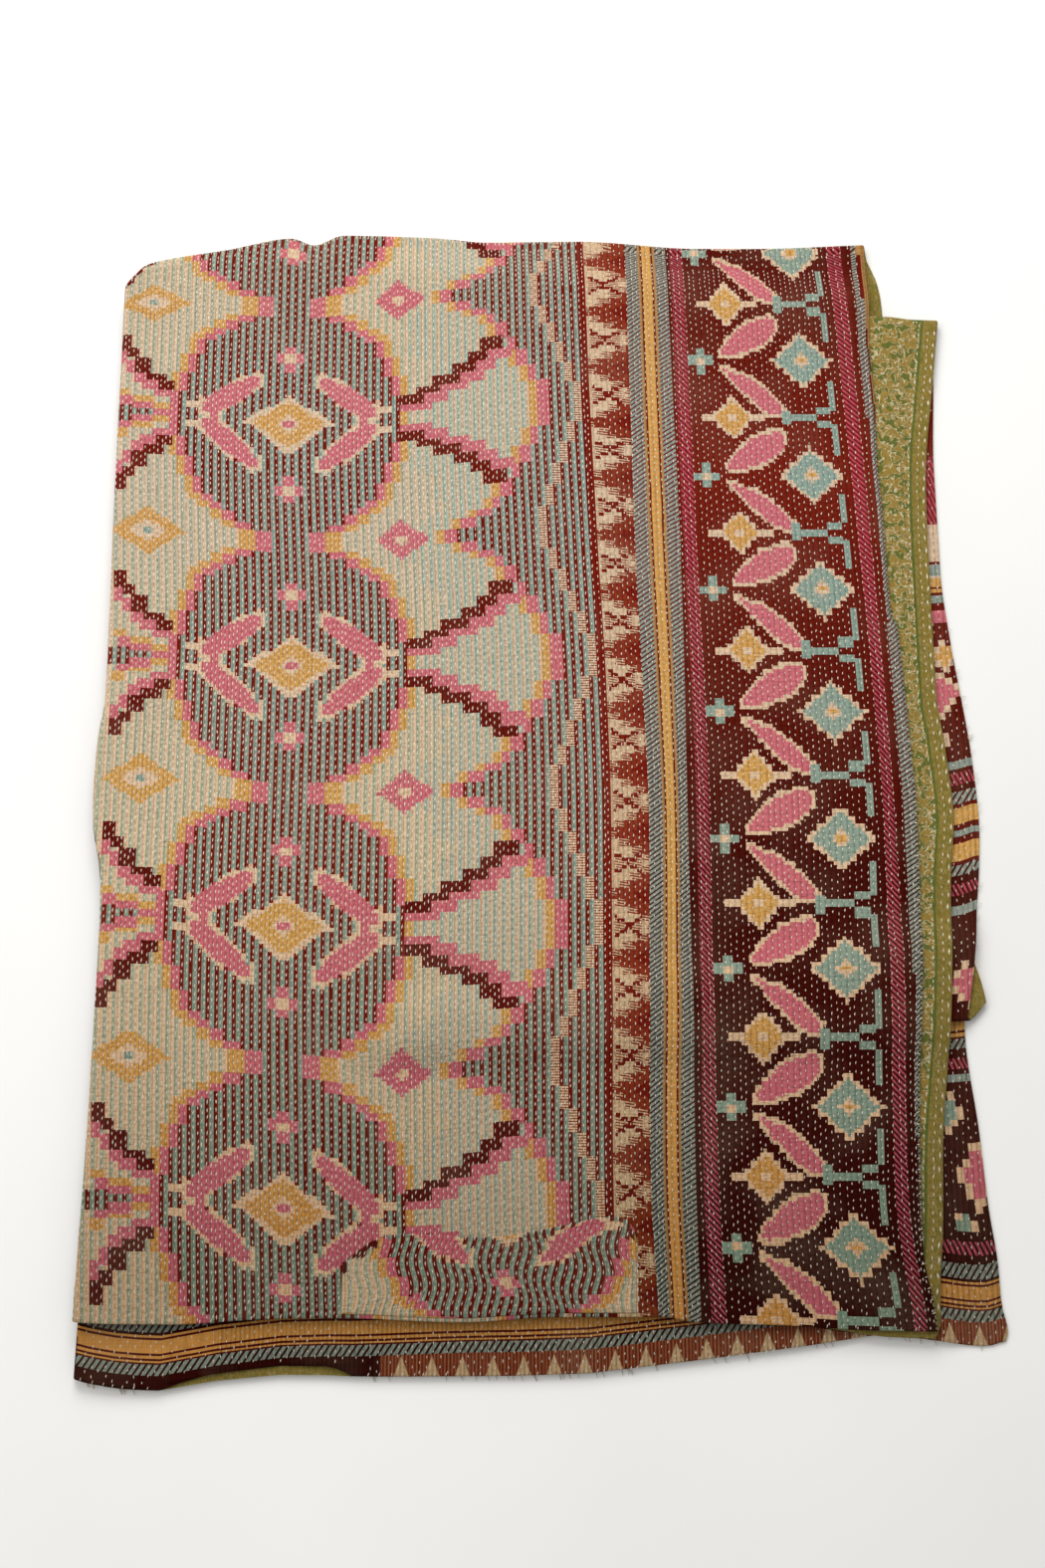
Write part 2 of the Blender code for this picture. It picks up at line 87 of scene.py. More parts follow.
# Where a layer sinks to the floor past the hem under it, and where the top layer covers the inner fold
HEM_SINK_START = 3.0
HEM_SINK_END = 30.0
INNER_COVER_MARGIN = 5.0
INNER_COVER_FADE = 55.0
# The worn stretch of the hem underneath, and the hems' own insets
WORN_HEM_DEPTH = 9.0
WORN_HEM_START = -334.0
WORN_HEM_END = -162.0
WORN_HEM_TAPER = 22.0
LOWER_HEM_INSET = 5.0
HEM_STRIP = 0.75
PATCH_HEM_INSET = 3.5
PATCH_LIFT = 1.2
CURL_STEPS = 3
ALL_CURLED = ((CURL_STEPS, CURL_STEPS), (CURL_STEPS, CURL_STEPS))
THREAD_LIFT = 0.1

# The folded quilt's own middle, which the solids are centred on
CENTRE = np.array((-0.91, 0.765, 0.0))

# Quilting: a row of stitches runs down the middle of each half stripe
HALF_STRIPE = 4.06
STITCH_PITCH = 7.2


class Edge:
    """A fold, hem or line of the pattern in plan: rows of (place along it, offset), joined smoothly."""

    def __init__(self, *rows: tuple[float, float]) -> None:
        """Sorts the rows and finds a slope at each that never overshoots."""
        self.along, self.offset = np.array(sorted(rows), float).T
        rises = np.diff(self.offset) / np.diff(self.along)
        self.slope = np.zeros_like(self.offset)
        self.slope[0], self.slope[-1] = rises[0], rises[-1]
        before, after = rises[:-1], rises[1:]
        same = before * after > 0
        total = np.where(same, before + after, 1.0)
        self.slope[1:-1] = np.where(same, 2 * before * after / total, 0.0)

    def __call__(self, place: Array) -> Array:
        """Reads the edge.

        Args:
            place: places along the edge.

        Returns:
            The offset at each, held beyond the first and last rows.
        """
        held = np.clip(place, self.along[0], self.along[-1])
        k = np.clip(np.searchsorted(self.along, held, side="right") - 1, 0, len(self.along) - 2)
        step = self.along[k + 1] - self.along[k]
        t = (held - self.along[k]) / step
        near, far = self.offset[k], self.offset[k + 1]
        leave, arrive = self.slope[k] * step, self.slope[k + 1] * step
        return (
            (2 * t**3 - 3 * t**2 + 1) * near + (t**3 - 2 * t**2 + t) * leave
            + (3 * t**2 - 2 * t**3) * far + (t**3 - t**2) * arrive
        )


def edges(places: tuple[float, ...], *offsets: tuple[float, ...]) -> list[Edge]:
    """Edges whose rows share their places."""
    return [Edge(*zip(places, line)) for line in offsets]


# Upright edges: rows of (y, x)
SIDE_FOLD = Edge(
    (530, -419.5), (388, -419.5), (256, -418), (150, -416), (67, -415), (27, -419.5), (-23, -421),
    (-73, -418.5), (-112, -409.5), (-179, -407.5), (-318, -407.5), (-461, -409.5), (-568, -411.5),
)
NEAR_HEM = Edge(
    (567, 339), (503, 340), (444, 338), (384, 341), (326, 340), (269, 342.5), (153, 346), (141, 351),
    (92, 354), (6, 358), (-36, 360), (-146, 358), (-377, 345), (-461, 343.5), (-502, 350), (-521, 352),
)
FLOOR_HEM = Edge((575, 341), (552, 343), (531, 351), (508, 355), (485, 356), (380, 352), (-530, 352))
FAR_HEM = Edge(
    (479, 411), (413, 403), (307, 390), (252, 388), (72, 387), (22, 392), (-48, 396.5), (-103, 391),
    (-211, 384), (-290, 376.5), (-358, 368), (-439, 363), (-491, 357.5), (-521, 356), (-534, 351),
)
TUCK_UPPER_HEM = Edge(
    (479, 405), (427, 404.5), (314, 399), (205, 399), (125, 405), (67, 412), (10, 418), (-52, 421),
    (-102, 418), (-143, 413), (-194, 406.5), (-236, 399), (-246, 397),
)
TUCK_RETURN_HEM = Edge((-246, 402), (-234, 416), (-209, 412), (-193, 407), (-180, 403))
TUCK_LOWER_HEM = Edge(
    (-180, 400), (-267, 395), (-285, 396), (-344, 402), (-417, 406.5), (-472, 412), (-501, 412.5),
    (-527, 417), (-535, 414.5),
)

# Level edges: rows of (x, y)
OUTER_FOLD = Edge(
    (-420, 516), (-415, 521), (-400, 538), (-379, 545), (-318, 559), (-254, 574), (-231, 565),
    (-200, 578), (-112, 575.5), (-51, 570), (45, 571), (166, 562.5), (227, 562.5), (339, 567),
)
INNER_FOLD = Edge((-420, 505), (-400, 517), (-355, 528), (-265, 528), (-15, 509), (353, 481.5), (411, 479))
NEAR_BOTTOM = Edge(
    (-410, -520.5), (-376, -522), (-328, -522), (-233, -517), (-175, -516.5), (-70, -520), (20, -515.5),
    (110, -515.5), (139, -520), (229, -523), (281, -526.5), (351, -528),
)
FAR_BOTTOM = Edge(
    (-410, -518.5), (-315, -518), (-115, -514), (85, -511), (235, -521), (282, -529), (305, -532), (352, -534),
)
UNDER_BOTTOM = Edge(
    (-411, -568), (-396, -572), (-361, -577), (-330, -578), (-300, -572), (-265, -567), (-212, -564),
    (-151, -566), (1, -565), (73, -561), (140, -552), (187, -549), (230, -541), (282, -532), (302, -530),
    (334, -533), (397, -539.6), (414, -535),
)
TUCK_FRONT = Edge((-100, -262), (400, -247), (416, -242))
PATCH_TOP = Edge(
    (-175, -469), (-144, -446), (-119, -443), (-54, -446), (-3, -441), (66, -428), (84, -436), (88, -446),
)

# Lines of the pattern that run along the quilt: the y of their rows, then each line's x there
MEDALLION_AXIS = Edge(
    (535.8, -250.4), (359.8, -249.8), (100, -238.4), (-152.3, -237.8), (-414.5, -229.1), (-513, -224),
)
TEMPLE_LEFT, TEMPLE_RIGHT, OCHRE_LEFT, OCHRE_RIGHT, GREY_RIGHT, PINK_LEFT, PINK_RIGHT = edges(
    (565, 387.6, 213.1, 77.4, -52.2, -226.1, -390.6, -517.2),
    (45.2, 50.8, 58.1, 64.4, 67.3, 66.5, 65.2, 67.3),
    (91.5, 94, 97.3, 101.9, 105.4, 103.3, 101.3, 106.1),
    (103.9, 107.1, 111.1, 115.4, 118.6, 115.7, 112.6, 116.2),
    (121.4, 125.2, 128.7, 131.8, 133.7, 131.8, 129.1, 132.5),
    (132.7, 137.3, 141.5, 142.3, 142.2, 142.9, 141.7, 143.5),
    (136.8, 141.3, 145.4, 149.1, 150.7, 150.2, 148.8, 152.7),
    (150.2, 154.3, 158.1, 161.6, 163, 162.2, 162.3, 165.9),
)
OUTER_PINK_LEFT, OUTER_PINK_RIGHT = edges(
    (559.1, 387.6, 213.1, 77.4, -52.2, -169.5, -291.1, -408.3, -517.2),
    (299.3, 309.1, 318, 324.2, 328.3, 326.1, 323.6, 321.1, 331.3),
    (314.7, 323.2, 330.8, 335.7, 338.7, 339.1, 336.3, 332.8, 342.8),
)

# How far the pattern's rows have drifted up the quilt, by place across it, at places along it
DRIFT_X = (-343.0, -241.0, -140.0, 15.0)
DRIFT = edges(
    (-420, -290, -161, -31, 98, 228, 358, 495),
    (7.3, 6.5, 11.5, 14, 9.9, 11.4, 11.3, 8),
    (0, 0, 0, 0, 0, 0, 0, 0),
    (-10.5, -9, -2.9, 1.5, 2.7, 3, 6.3, 10),
    (1.6, 2, 3.8, 7, 11.5, 18, 26.2, 28),
)


def blend(start: Array, end: Array, share: Array) -> Array:
    """The value at a share of the way from start to end."""
    return start + (end - start) * share


def smooth(value: Array) -> Array:
    """0 below 0 and 1 above 1, with a soft start and end."""
    held = np.clip(value, 0.0, 1.0)
    return held * held * (3 - 2 * held)


def unit(vectors: Array) -> Array:
    """The same directions, each one long."""
    return vectors / np.maximum(np.linalg.norm(vectors, axis=-1, keepdims=True), 1e-9)


def swell(distance: Array) -> Array:
    """The puff of a fold at a distance from it, 1 at the fold."""
    return np.exp(-((np.maximum(distance, 0.0) / PUFF_REACH) ** 2))


@dataclass(frozen=True)
class Crease:
    """A soft ridge or trough across the top layer, from one place in plan to another."""

    start: tuple[float, float]
    end: tuple[float, float]
    width: float
    height: float

    def lift(self, x: Array, y: Array) -> Array:
        """Raises the cloth along the crease.

        Args:
            x: places across.
            y: places along.

        Returns:
            How much higher the cloth lies there.
        """
        start, run = np.array(self.start), np.subtract(self.end, self.start)
        length = np.hypot(*run)
        along = ((x - start[0]) * run[0] + (y - start[1]) * run[1]) / length**2
        aside = ((x - start[0]) * run[1] - (y - start[1]) * run[0]) / length
        ends = smooth(along / 0.3 + 0.5) * smooth((1 - along) / 0.3 + 0.5)
        return self.height * ends * np.exp(-((aside / self.width) ** 2))


CREASES = (
    Crease((103, 303), (148, 200), 5, 2), Crease((121, 303), (160, 210), 6, -1.2),
    Crease((-395, 82), (-325, 36), 5, 1.6), Crease((-300, 250), (-255, 262), 6, 0.9),
    Crease((-30, 470), (60, 455), 7, 0.9), Crease((-390, -220), (-330, -212), 6, 1),
    Crease((230, -330), (322, -344), 6, 1), Crease((-120, -80), (-60, -92), 7, 0.8),
)


Line = Callable[[Array, Array], Array]


@dataclass
class Row:
    """A line of the mesh across the quilt.

    half is 1 on top and -1 underneath. bend is how far it lies round the top fold from its tip, 90 on
    the flat. line gives y, and lift the height above the plain layer, from x and the columns' share,
    which is 1 on the near half, 0 on the far half and between them round the side fold.
    far_hem gives the x of the far half's hem from y, and along is its place along the pattern.
    """

    half: int
    bend: float
    line: Line
    lift: Line
    far_hem: Callable[[Array], Array]
    along: float

    @property
    def under(self) -> float:
        """0 on top, 1 underneath, and between them round the top fold."""
        return (1 - self.half * math.sin(math.radians(self.bend))) / 2


def no_lift(x: Array, share: Array) -> Array:
    """A row that lies on the plain layer."""
    return np.zeros_like(x)


def tuck_return(x: Array) -> Array:
    """The depth of the tuck's return."""
    share = (x - TUCK_TURNED_X) / (TUCK_HEM_X - TUCK_TURNED_X)
    return blend(TUCK_LEAST_RETURN, TUCK_RETURN, np.clip(share, 0.0, 1.0))


def tuck_turn(x: Array, share: Array) -> Array:
    """How far the cloth turns in the tuck: pi where it lies folded, near 0 where it has opened."""
    closed = np.where(share < 0.5, (x - TUCK_FADED_X) / (TUCK_TURNED_X - TUCK_FADED_X), 0.0)
    return math.pi * np.clip(closed, FLAT_TURN, 1.0)


def tuck_height(x: Array, share: Array) -> Array:
    """How much higher the cloth lies at the crest of the tuck than beside it."""
    turn = tuck_turn(x, share)
    return 2 * TUCK_ARC / turn * (1 - np.cos(turn)) + tuck_return(x) * np.sin(turn)


def tuck_back(x: Array) -> Array:
    """The line at the far side of the tuck."""
    return TUCK_FRONT(x) + 2 * TUCK_RADIUS + tuck_return(x)


def rise_start(x: Array, share: Array) -> Array:
    """Where the layers over the tuck start to rise."""
    return tuck_back(x) + TUCK_CLEARANCE + TUCK_RISE


def rise_end(x: Array, share: Array) -> Array:
    """Where the layers over the tuck are up."""
    return tuck_back(x) + TUCK_CLEARANCE


def over_tuck(x: Array, y: Array) -> Array:
    """Raises the layers over the tuck.

    Args:
        x: places across.
        y: places along.

    Returns:
        How much higher a layer lies where it passes over the tuck.
    """
    up = smooth((rise_start(x, 0.0) - y) / TUCK_RISE)
    down = smooth((y - (TUCK_FRONT(x) - TUCK_CLEARANCE - TUCK_RISE)) / TUCK_RISE)
    return tuck_height(x, np.zeros_like(x)) * np.minimum(up, down)


def soft_waves(x: Array, y: Array) -> Array:
    """The slight unevenness of the layers above the floor."""
    return 0.5 + 0.3 * np.sin(x / 64 + 0.5) * np.sin(y / 75 + 1.1) + 0.2 * np.sin(x / 118 - y / 97)


def under_height(x: Array, y: Array) -> Array:
    """Finds the far half where it lies on the layer on the floor, tuck left out.

    Args:
        x: places across.
        y: places along.

    Returns:
        The mid height there.
    """
    past = x - FLOOR_HEM(y)
    held = 1 - smooth((past - HEM_SINK_START) / (HEM_SINK_END - HEM_SINK_START))
    resting = HALF_PLY + FLOOR_CLEARANCE + (LAYER_PITCH - FLOOR_CLEARANCE + soft_waves(x, y)) * held
    return resting + SIDE_PUFF * swell(x - SIDE_FOLD(y))


def far_height(x: Array, y: Array) -> Array:
    """Mid height of the far half where it lies back up."""
    return under_height(x, y) + over_tuck(x, y) + LAYER_PITCH + INNER_PUFF * swell(INNER_FOLD(x) - y)


def near_height(x: Array, y: Array) -> Array:
    """Finds the near half on top of the folded quilt.

    Args:
        x: places across.
        y: places along.

    Returns:
        The mid height there.
    """
    past = y - INNER_FOLD(x) - INNER_COVER_MARGIN
    covered = 1 - smooth(past / INNER_COVER_FADE)
    below = far_height(x, np.minimum(y, INNER_FOLD(x))) - HALF_PLY
    puff = SIDE_PUFF * swell(x - SIDE_FOLD(y)) + OUTER_PUFF * swell(OUTER_FOLD(x) - y)
    return HALF_PLY + LAYER_PITCH + below * covered + puff


def near_bottom(x: Array, share: Array) -> Array:
    """The hem of the top layers."""
    return blend(FAR_BOTTOM(x), NEAR_BOTTOM(x), share)


def under_bottom(x: Array, share: Array) -> Array:
    """The hem of the lower layers."""
    return UNDER_BOTTOM(x) + LOWER_HEM_INSET * smooth(2 * share - 1)


def top_fold(x: Array, share: Array) -> Array:
    """The tip of the top fold."""
    return blend(INNER_FOLD(x), OUTER_FOLD(x), share)


def fold_start(x: Array, share: Array) -> Array:
    """The near end of the top fold's curve."""
    return top_fold(x, share) - blend((LAYER_PITCH + INNER_PUFF) / 2, 2 * LAYER_PITCH, share)


def pattern_x(cloth: Array, y: Array, hem: Array) -> Array:
    """Lays places across the cloth on the pattern's own lines.

    Args:
        cloth: places across the cloth, from the medallions' axis.
        y: where each lies along the quilt.
        hem: x of the near half's hem there.

    Returns:
        The x of each place.
    """
    lines = [
        (0.0, MEDALLION_AXIS(y)), (FIELD_END, TEMPLE_LEFT(y)), (TEMPLE_END, TEMPLE_RIGHT(y)),
        (351.0, OCHRE_LEFT(y)), (367.0, OCHRE_RIGHT(y)), (377.0, GREY_RIGHT(y)), (382.0, PINK_LEFT(y)),
        (GROUND_START, PINK_RIGHT(y)), (GROUND_END, OUTER_PINK_LEFT(y)), (HEM_BAND_PLACE, OUTER_PINK_RIGHT(y)),
        (HEM_PLACE, hem),
    ]
    x = lines[0][1] + cloth
    for (first, left), (second, right) in zip(lines, lines[1:]):
        share = (cloth - first) / (second - first)
        x = np.where(cloth > first, blend(left, right, share), x)
    return x


@dataclass
class Columns:
    """The columns of a grid, from the far half's hem round the side fold to the near half's hem.

    far holds how far across the far half each of the first columns lies, and cloth the place of the
    rest, in millimetres from the medallions' axis. They slide round the side fold as the quilt leans.
    """

    far: Array
    cloth: Array

    @property
    def count(self) -> int:
        """How many columns there are."""
        return len(self.far) + len(self.cloth)

    def settle(self, row: Row, y: Array) -> tuple[Array, Array]:
        """Finds where the columns cross a row.

        Args:
            row: the row that they cross.
            y: where each column meets it.

        Returns:
            The x of each column, and its share.
        """
        start = SIDE_FOLD(y) + LOWER_FOLD_INSET * row.under
        flat = start + SIDE_RADIUS
        split = len(self.far)
        near_y = y[split:]
        hem = blend(NEAR_HEM(near_y), FLOOR_HEM(near_y), row.under)
        drawn = near_y if row.half > 0 else np.full_like(near_y, 500.0)
        wanted = pattern_x(self.cloth, drawn, hem)
        over = flat[split:] - wanted
        angle = np.clip(math.pi / 2 - over / SIDE_RADIUS, -math.pi / 2, math.pi / 2)
        round_fold = start[split:] + SIDE_RADIUS * (1 - np.cos(angle))
        beyond = flat[split:] + over - SIDE_ARC
        near_x = np.where(over <= 0, wanted, np.where(over < SIDE_ARC, round_fold, beyond))
        bend = smooth((self.far - HEM_STRIP) / (1 - HEM_STRIP))
        far_hem = blend(TUCK_UPPER_HEM(y[:split]), row.far_hem(y[:split]), bend)
        far_x = blend(flat[:split], far_hem, self.far)
        return np.concatenate([far_x, near_x]), np.concatenate([np.zeros(split), (1 + np.sin(angle)) / 2])


def layer_height(share: Array, half: int, x: Array, y: Array) -> Array:
    """Finds a plain layer.

    Args:
        share: how far each place belongs to the near half.
        half: 1 for the layers above the top fold, -1 for those below.
        x: places across.
        y: places along.

    Returns:
        The mid height there.
    """
    if half > 0:
        return blend(far_height(x, y), near_height(x, y), share)
    return blend(under_height(x, y), np.full_like(x, HALF_PLY), share)


def lay(columns: Columns, rows: list[Row]) -> tuple[Array, Array]:
    """Lays a grid on the folds.

    Args:
        columns: the grid's columns.
        rows: its rows.

    Returns:
        The middle of the cloth, as points in the order columns, rows, axes, and each point's share.
    """
    grid = np.empty((columns.count, len(rows), 3))
    shares = np.empty(grid.shape[:2])
    for j, row in enumerate(rows):
        share = np.concatenate([np.zeros(len(columns.far)), np.ones(len(columns.cloth))])
        y = row.line(np.zeros(columns.count), share)
        for _ in range(7):
            x, share = columns.settle(row, y)
            y = row.line(x, share)
        if row.bend == 90:
            z = layer_height(share, row.half, x, y) + row.lift(x, share)
            if row.half > 0:
                z = z + sum(crease.lift(x, y) for crease in CREASES) * smooth(4 * share - 3)
        else:
            fold = top_fold(x, share)
            lower = layer_height(share, -1, x, fold)
            radius = (layer_height(share, 1, x, fold) - lower) / 2
            bend = math.radians(row.bend)
            y = fold - radius * (1 - math.cos(bend))
            z = lower + radius * (1 + row.half * math.sin(bend))
        grid[:, j] = np.stack([x, y, z], axis=1)
        shares[:, j] = share
    return grid, shares


# Places along the pattern: the near hem, both ends of the top fold, and how far hem and fold bend the rows
TOP_START = -520.0
TOP_END = 556.0
UNDER_START = 592.0
HEM_REACH = 60.0
FOLD_REACH_START = 440.0
# How far the pattern runs on round each turn of the tuck, to its return's end, past the tuck, and to the hem
TURN_RUN = 6.0
RETURN_RUN = 60.0
REAR_START = 70.0
TUCK_RUN = 77.0
HEM_RUN = 89.0


def drift(x: Array, place: float) -> Array:
    """How far a row of the pattern has slid up the quilt at each x."""
    return Edge(*((at, float(line(np.array(place)))) for at, line in zip(DRIFT_X, DRIFT)))(x)


def top_rows(pitch: float, fold_steps: int) -> list[Row]:
    """Rows of the upper layers, from the near hem to the far side of the top fold.

    Args:
        pitch: the spacing of the flat rows.
        fold_steps: how many steps the top fold is cut into.

    Returns:
        The rows.
    """

    def line_at(place: float) -> Line:
        """Bends a row to the hem and the fold.

        Args:
            place: the place along the pattern.

        Returns:
            The row's line.
        """
        hem = 1 - float(smooth(np.array((place - TOP_START) / HEM_REACH)))
        fold = max(0.0, (place - FOLD_REACH_START) / (TOP_END - FOLD_REACH_START)) ** 2
        free = (1 - hem) * (1 - fold)
        plain = (place - TOP_START) / (TOP_END - TOP_START)

        def line(x: Array, share: Array) -> Array:
            """From the hem to the fold evenly on the far half, and on the pattern's own drift on the near one."""
            start, end = near_bottom(x, share), fold_start(x, share)
            drifted = place + (start - TOP_START) * hem + (end - TOP_END) * fold + drift(x, place) * free
            return blend(blend(start, end, plain), drifted, smooth(2 * share - 0.5))

        return line

    places = np.linspace(TOP_START, TOP_END, round((TOP_END - TOP_START) / pitch) + 1)
    rows = [Row(1, 90, line_at(place), no_lift, FAR_HEM, place) for place in places[:-1]]
    for step in range(fold_steps + 1):
        angle = 90 - 180 * step / fold_steps
        along = blend(TOP_END, UNDER_START, step / fold_steps)
        rows.append(Row(1 if angle >= 0 else -1, min(abs(angle), 89.999), top_fold, no_lift, FAR_HEM, along))
    return rows


def between(start: Line, end: Line, share: float) -> Line:
    """The line at a share of the way from one to another."""
    return lambda x, side: blend(start(x, side), end(x, side), share)


def tuck_row(front: float, back: float, rear: float, far_hem: Callable, along: float) -> Row:
    """Makes a row of the tuck.

    Args:
        front: how far it is round the front turn, from 0 to 1.
        back: how far along the return.
        rear: how far round the rear turn.
        far_hem: x of the far half's hem from y.
        along: its place along the pattern.

    Returns:
        The row.
    """

    def line(x: Array, share: Array) -> Array:
        """The row's y."""
        turn = tuck_turn(x, share)
        turns = np.sin(turn * front) + (np.sin(turn) - np.sin(turn * (1 - rear)) if rear else 0.0)
        gone = TUCK_ARC / turn * turns + back * tuck_return(x) * np.cos(turn)
        return TUCK_FRONT(x) + TUCK_RADIUS - gone

    def lift(x: Array, share: Array) -> Array:
        """Its height above the plain layer."""
        turn = tuck_turn(x, share)
        drops = 1 - np.cos(turn * front) + (np.cos(turn * (1 - rear)) - np.cos(turn) if rear else 0.0)
        return tuck_height(x, share) - TUCK_ARC / turn * drops - back * tuck_return(x) * np.sin(turn)

    return Row(-1, 90, line, lift, far_hem, along)


def hem_between(start: Edge, end: Edge, share: float) -> Callable:
    """The far half's hem at a share of the way from one layer's to another's."""
    return lambda y: blend(start(y), end(y), share)


LEVEL_X = 400.0
HEM_BANDS_TOP = -451.0
# The bands along the hem underneath narrow to the left, and once more round the side fold
BAND_RISE = 20.5
BAND_NARROWING = 8.0
BAND_NARROW_X = -330.0
BAND_NARROW_RUN = 300.0
BAND_SIDE_SQUEEZE = 0.3


def level_of(line: Line) -> float:
    """The y of a row's line beside the far half's hem, which names its place in the bands there."""
    return float(line(np.array([LEVEL_X]), np.zeros(1))[0])


def hem_band(level: float) -> Line:
    """Makes a line that follows the hem underneath.

    Args:
        level: its y beside the far half's hem.

    Returns:
        The line.
    """
    above = level - float(UNDER_BOTTOM(np.array(LEVEL_X)))
    grown = min(above / BAND_RISE, 1.0)

    def line(x: Array, share: Array) -> Array:
        """The line's y, where the band narrows to the left."""
        narrower = BAND_NARROWING * (1 - smooth((x - BAND_NARROW_X) / BAND_NARROW_RUN)) * grown
        squeezed = 1 - BAND_SIDE_SQUEEZE * smooth(2 * share - 1) * grown
        return under_bottom(x, share) + (above - narrower) * squeezed

    return line


def under_rows(levels: list[float], tuck_steps: int) -> list[Row]:
    """Rows of the lower layers, from the top fold to the hem underneath.

    Args:
        levels: the y of each row beside the far half's hem. Those beside the tuck are left out.
        tuck_steps: how many steps each turn of the tuck is cut into.

    Returns:
        The rows.
    """
    along = UNDER_START

    def stage(start: Line, end: Line, wanted: list[float], lift: Line, far_hem: Callable) -> list[Row]:
        """Makes the rows between two lines.

        Args:
            start: the upper line.
            end: the lower line.
            wanted: the levels, of which those between the lines are taken.
            lift: how far the rows lie above the plain layer.
            far_hem: x of the far half's hem from y.

        Returns:
            The rows.
        """
        nonlocal along
        first, last = level_of(start), level_of(end)
        made = []
        for level in sorted(wanted, reverse=True):
            if first - 1 > level > last + 1:
                share = (first - level) / (first - last)
                made.append(Row(-1, 90, between(start, end, share), lift, far_hem, along + first - level))
        along += first - last
        return made

    rows = stage(fold_start, rise_start, levels, no_lift, TUCK_UPPER_HEM)
    rows += [
        Row(-1, 90, between(rise_start, rise_end, s), between(no_lift, tuck_height, smooth(np.array(s))),
            TUCK_UPPER_HEM, along + TUCK_RISE * s)
        for s in (0.0, 0.2, 0.4, 0.6, 0.8, 1.0)
    ]
    along += TUCK_RISE
    steps = np.linspace(0, 1, tuck_steps + 1)
    front = tuck_row(0, 0, 0, TUCK_UPPER_HEM, along)
    rows += stage(rise_end, front.line, levels, tuck_height, TUCK_UPPER_HEM)
    rows += [
        tuck_row(done, 0, 0, hem_between(TUCK_UPPER_HEM, TUCK_RETURN_HEM, done), along + TURN_RUN * done)
        for done in steps
    ]
    rows += [
        tuck_row(1, back, 0, TUCK_RETURN_HEM, along + TURN_RUN + 1 + RETURN_RUN * back)
        for back in (0.15, 0.4, 0.65, 0.9)
    ]
    rows += [
        tuck_row(1, 1, done, hem_between(TUCK_RETURN_HEM, TUCK_LOWER_HEM, done), along + REAR_START + TURN_RUN * done)
        for done in steps
    ]
    last = rows[-1]
    along += TUCK_RUN
    bands = hem_band(HEM_BANDS_TOP)
    rows += stage(last.line, bands, levels, no_lift, TUCK_LOWER_HEM)
    for level in sorted({HEM_BANDS_TOP, *(level for level in levels if level < HEM_BANDS_TOP)}, reverse=True):
        rows.append(Row(-1, 90, hem_band(level), no_lift, TUCK_LOWER_HEM, along + HEM_BANDS_TOP - level))
    rows.append(Row(-1, 90, under_bottom, no_lift, TUCK_LOWER_HEM, along + HEM_RUN))
    return rows


def facing(grid: Array) -> Array:
    """Finds the way the patterned face looks.

    Args:
        grid: the middle of the ply.

    Returns:
        A unit vector for each point, from the facets round it.
    """
    first = grid[1:, 1:] - grid[:-1, :-1]
    second = grid[:-1, 1:] - grid[1:, :-1]
    facets = unit(np.cross(first, second))
    total = np.zeros_like(grid)
    for part in (np.s_[:-1, :-1], np.s_[1:, :-1], np.s_[:-1, 1:], np.s_[1:, 1:]):
        total[part] += facets
    return unit(total)


@dataclass
class Surface:
    """Points, faces and a cloth place for each face, gathered for one mesh."""

    points: list[Array] = field(default_factory=list)
    quads: list[Array] = field(default_factory=list)
    maps: list[Array] = field(default_factory=list)
    dyes: list[Array] = field(default_factory=list)
    count: int = 0

    def add(self, grid: Array) -> None:
        """Adds a grid's points, and a face for each of its cells.

        Args:
            grid: the points.
        """
        numbers = self.count + np.arange(grid.shape[0] * grid.shape[1]).reshape(grid.shape[:2])
        self.count += numbers.size
        self.points.append(grid.reshape(-1, 3))
        ring = [numbers[:-1, :-1], numbers[1:, :-1], numbers[1:, 1:], numbers[:-1, 1:]]
        self.quads.append(np.stack(ring, axis=2).reshape(-1, 4))

    def mesh(self, name: str) -> Mesh:
        """Makes one mesh of all that was gathered.

        Args:
            name: the mesh's name.

        Returns:
            The mesh, in metres on the solids' place.
        """
        made = bpy.data.meshes.new(name)
        faces = np.concatenate(self.quads)
        made.from_pydata(((np.concatenate(self.points) - CENTRE) * MM).tolist(), [], faces.tolist())
        if self.maps:
            maps = np.concatenate(self.maps)
            add_map(made, "thread", maps[:, :2] * MM)
            add_map(made, "hem", maps[:, 2:4] * MM)
            count = np.interp(maps[:, 0], ROW_PLACES, ROW_COUNTS)
            add_map(made, "quilting", np.stack([count, maps[:, 1] / STITCH_PITCH], axis=1))
        if self.dyes:
            dyes = np.concatenate(self.dyes)
            add_values(made, "dye", "FLOAT_COLOR", "FACE", dyes[:, :4])
            add_values(made, "second_dye", "FLOAT_COLOR", "FACE", dyes[:, 4:8])
            add_values(made, "weave", "FLOAT", "FACE", dyes[:, 8:])
        made.shade_smooth()
        return made


def placed(name: str, data: bpy.types.ID) -> Piece:
    """Puts a mesh, lamp or lens in the scene.

    Args:
        name: the object's name.
        data: what it shows.

    Returns:
        The object.
    """
    made = bpy.data.objects.new(name, data)
    bpy.context.scene.collection.objects.link(made)
    return made


def add_piece(name: str, mesh: Mesh, material: Material) -> Piece:
    """Puts a mesh in the scene.

    Args:
        name: the piece's name.
        mesh: its mesh.
        material: its finish.

    Returns:
        The piece.
    """
    mesh.materials.clear()
    mesh.materials.append(material)
    return placed(name, mesh)


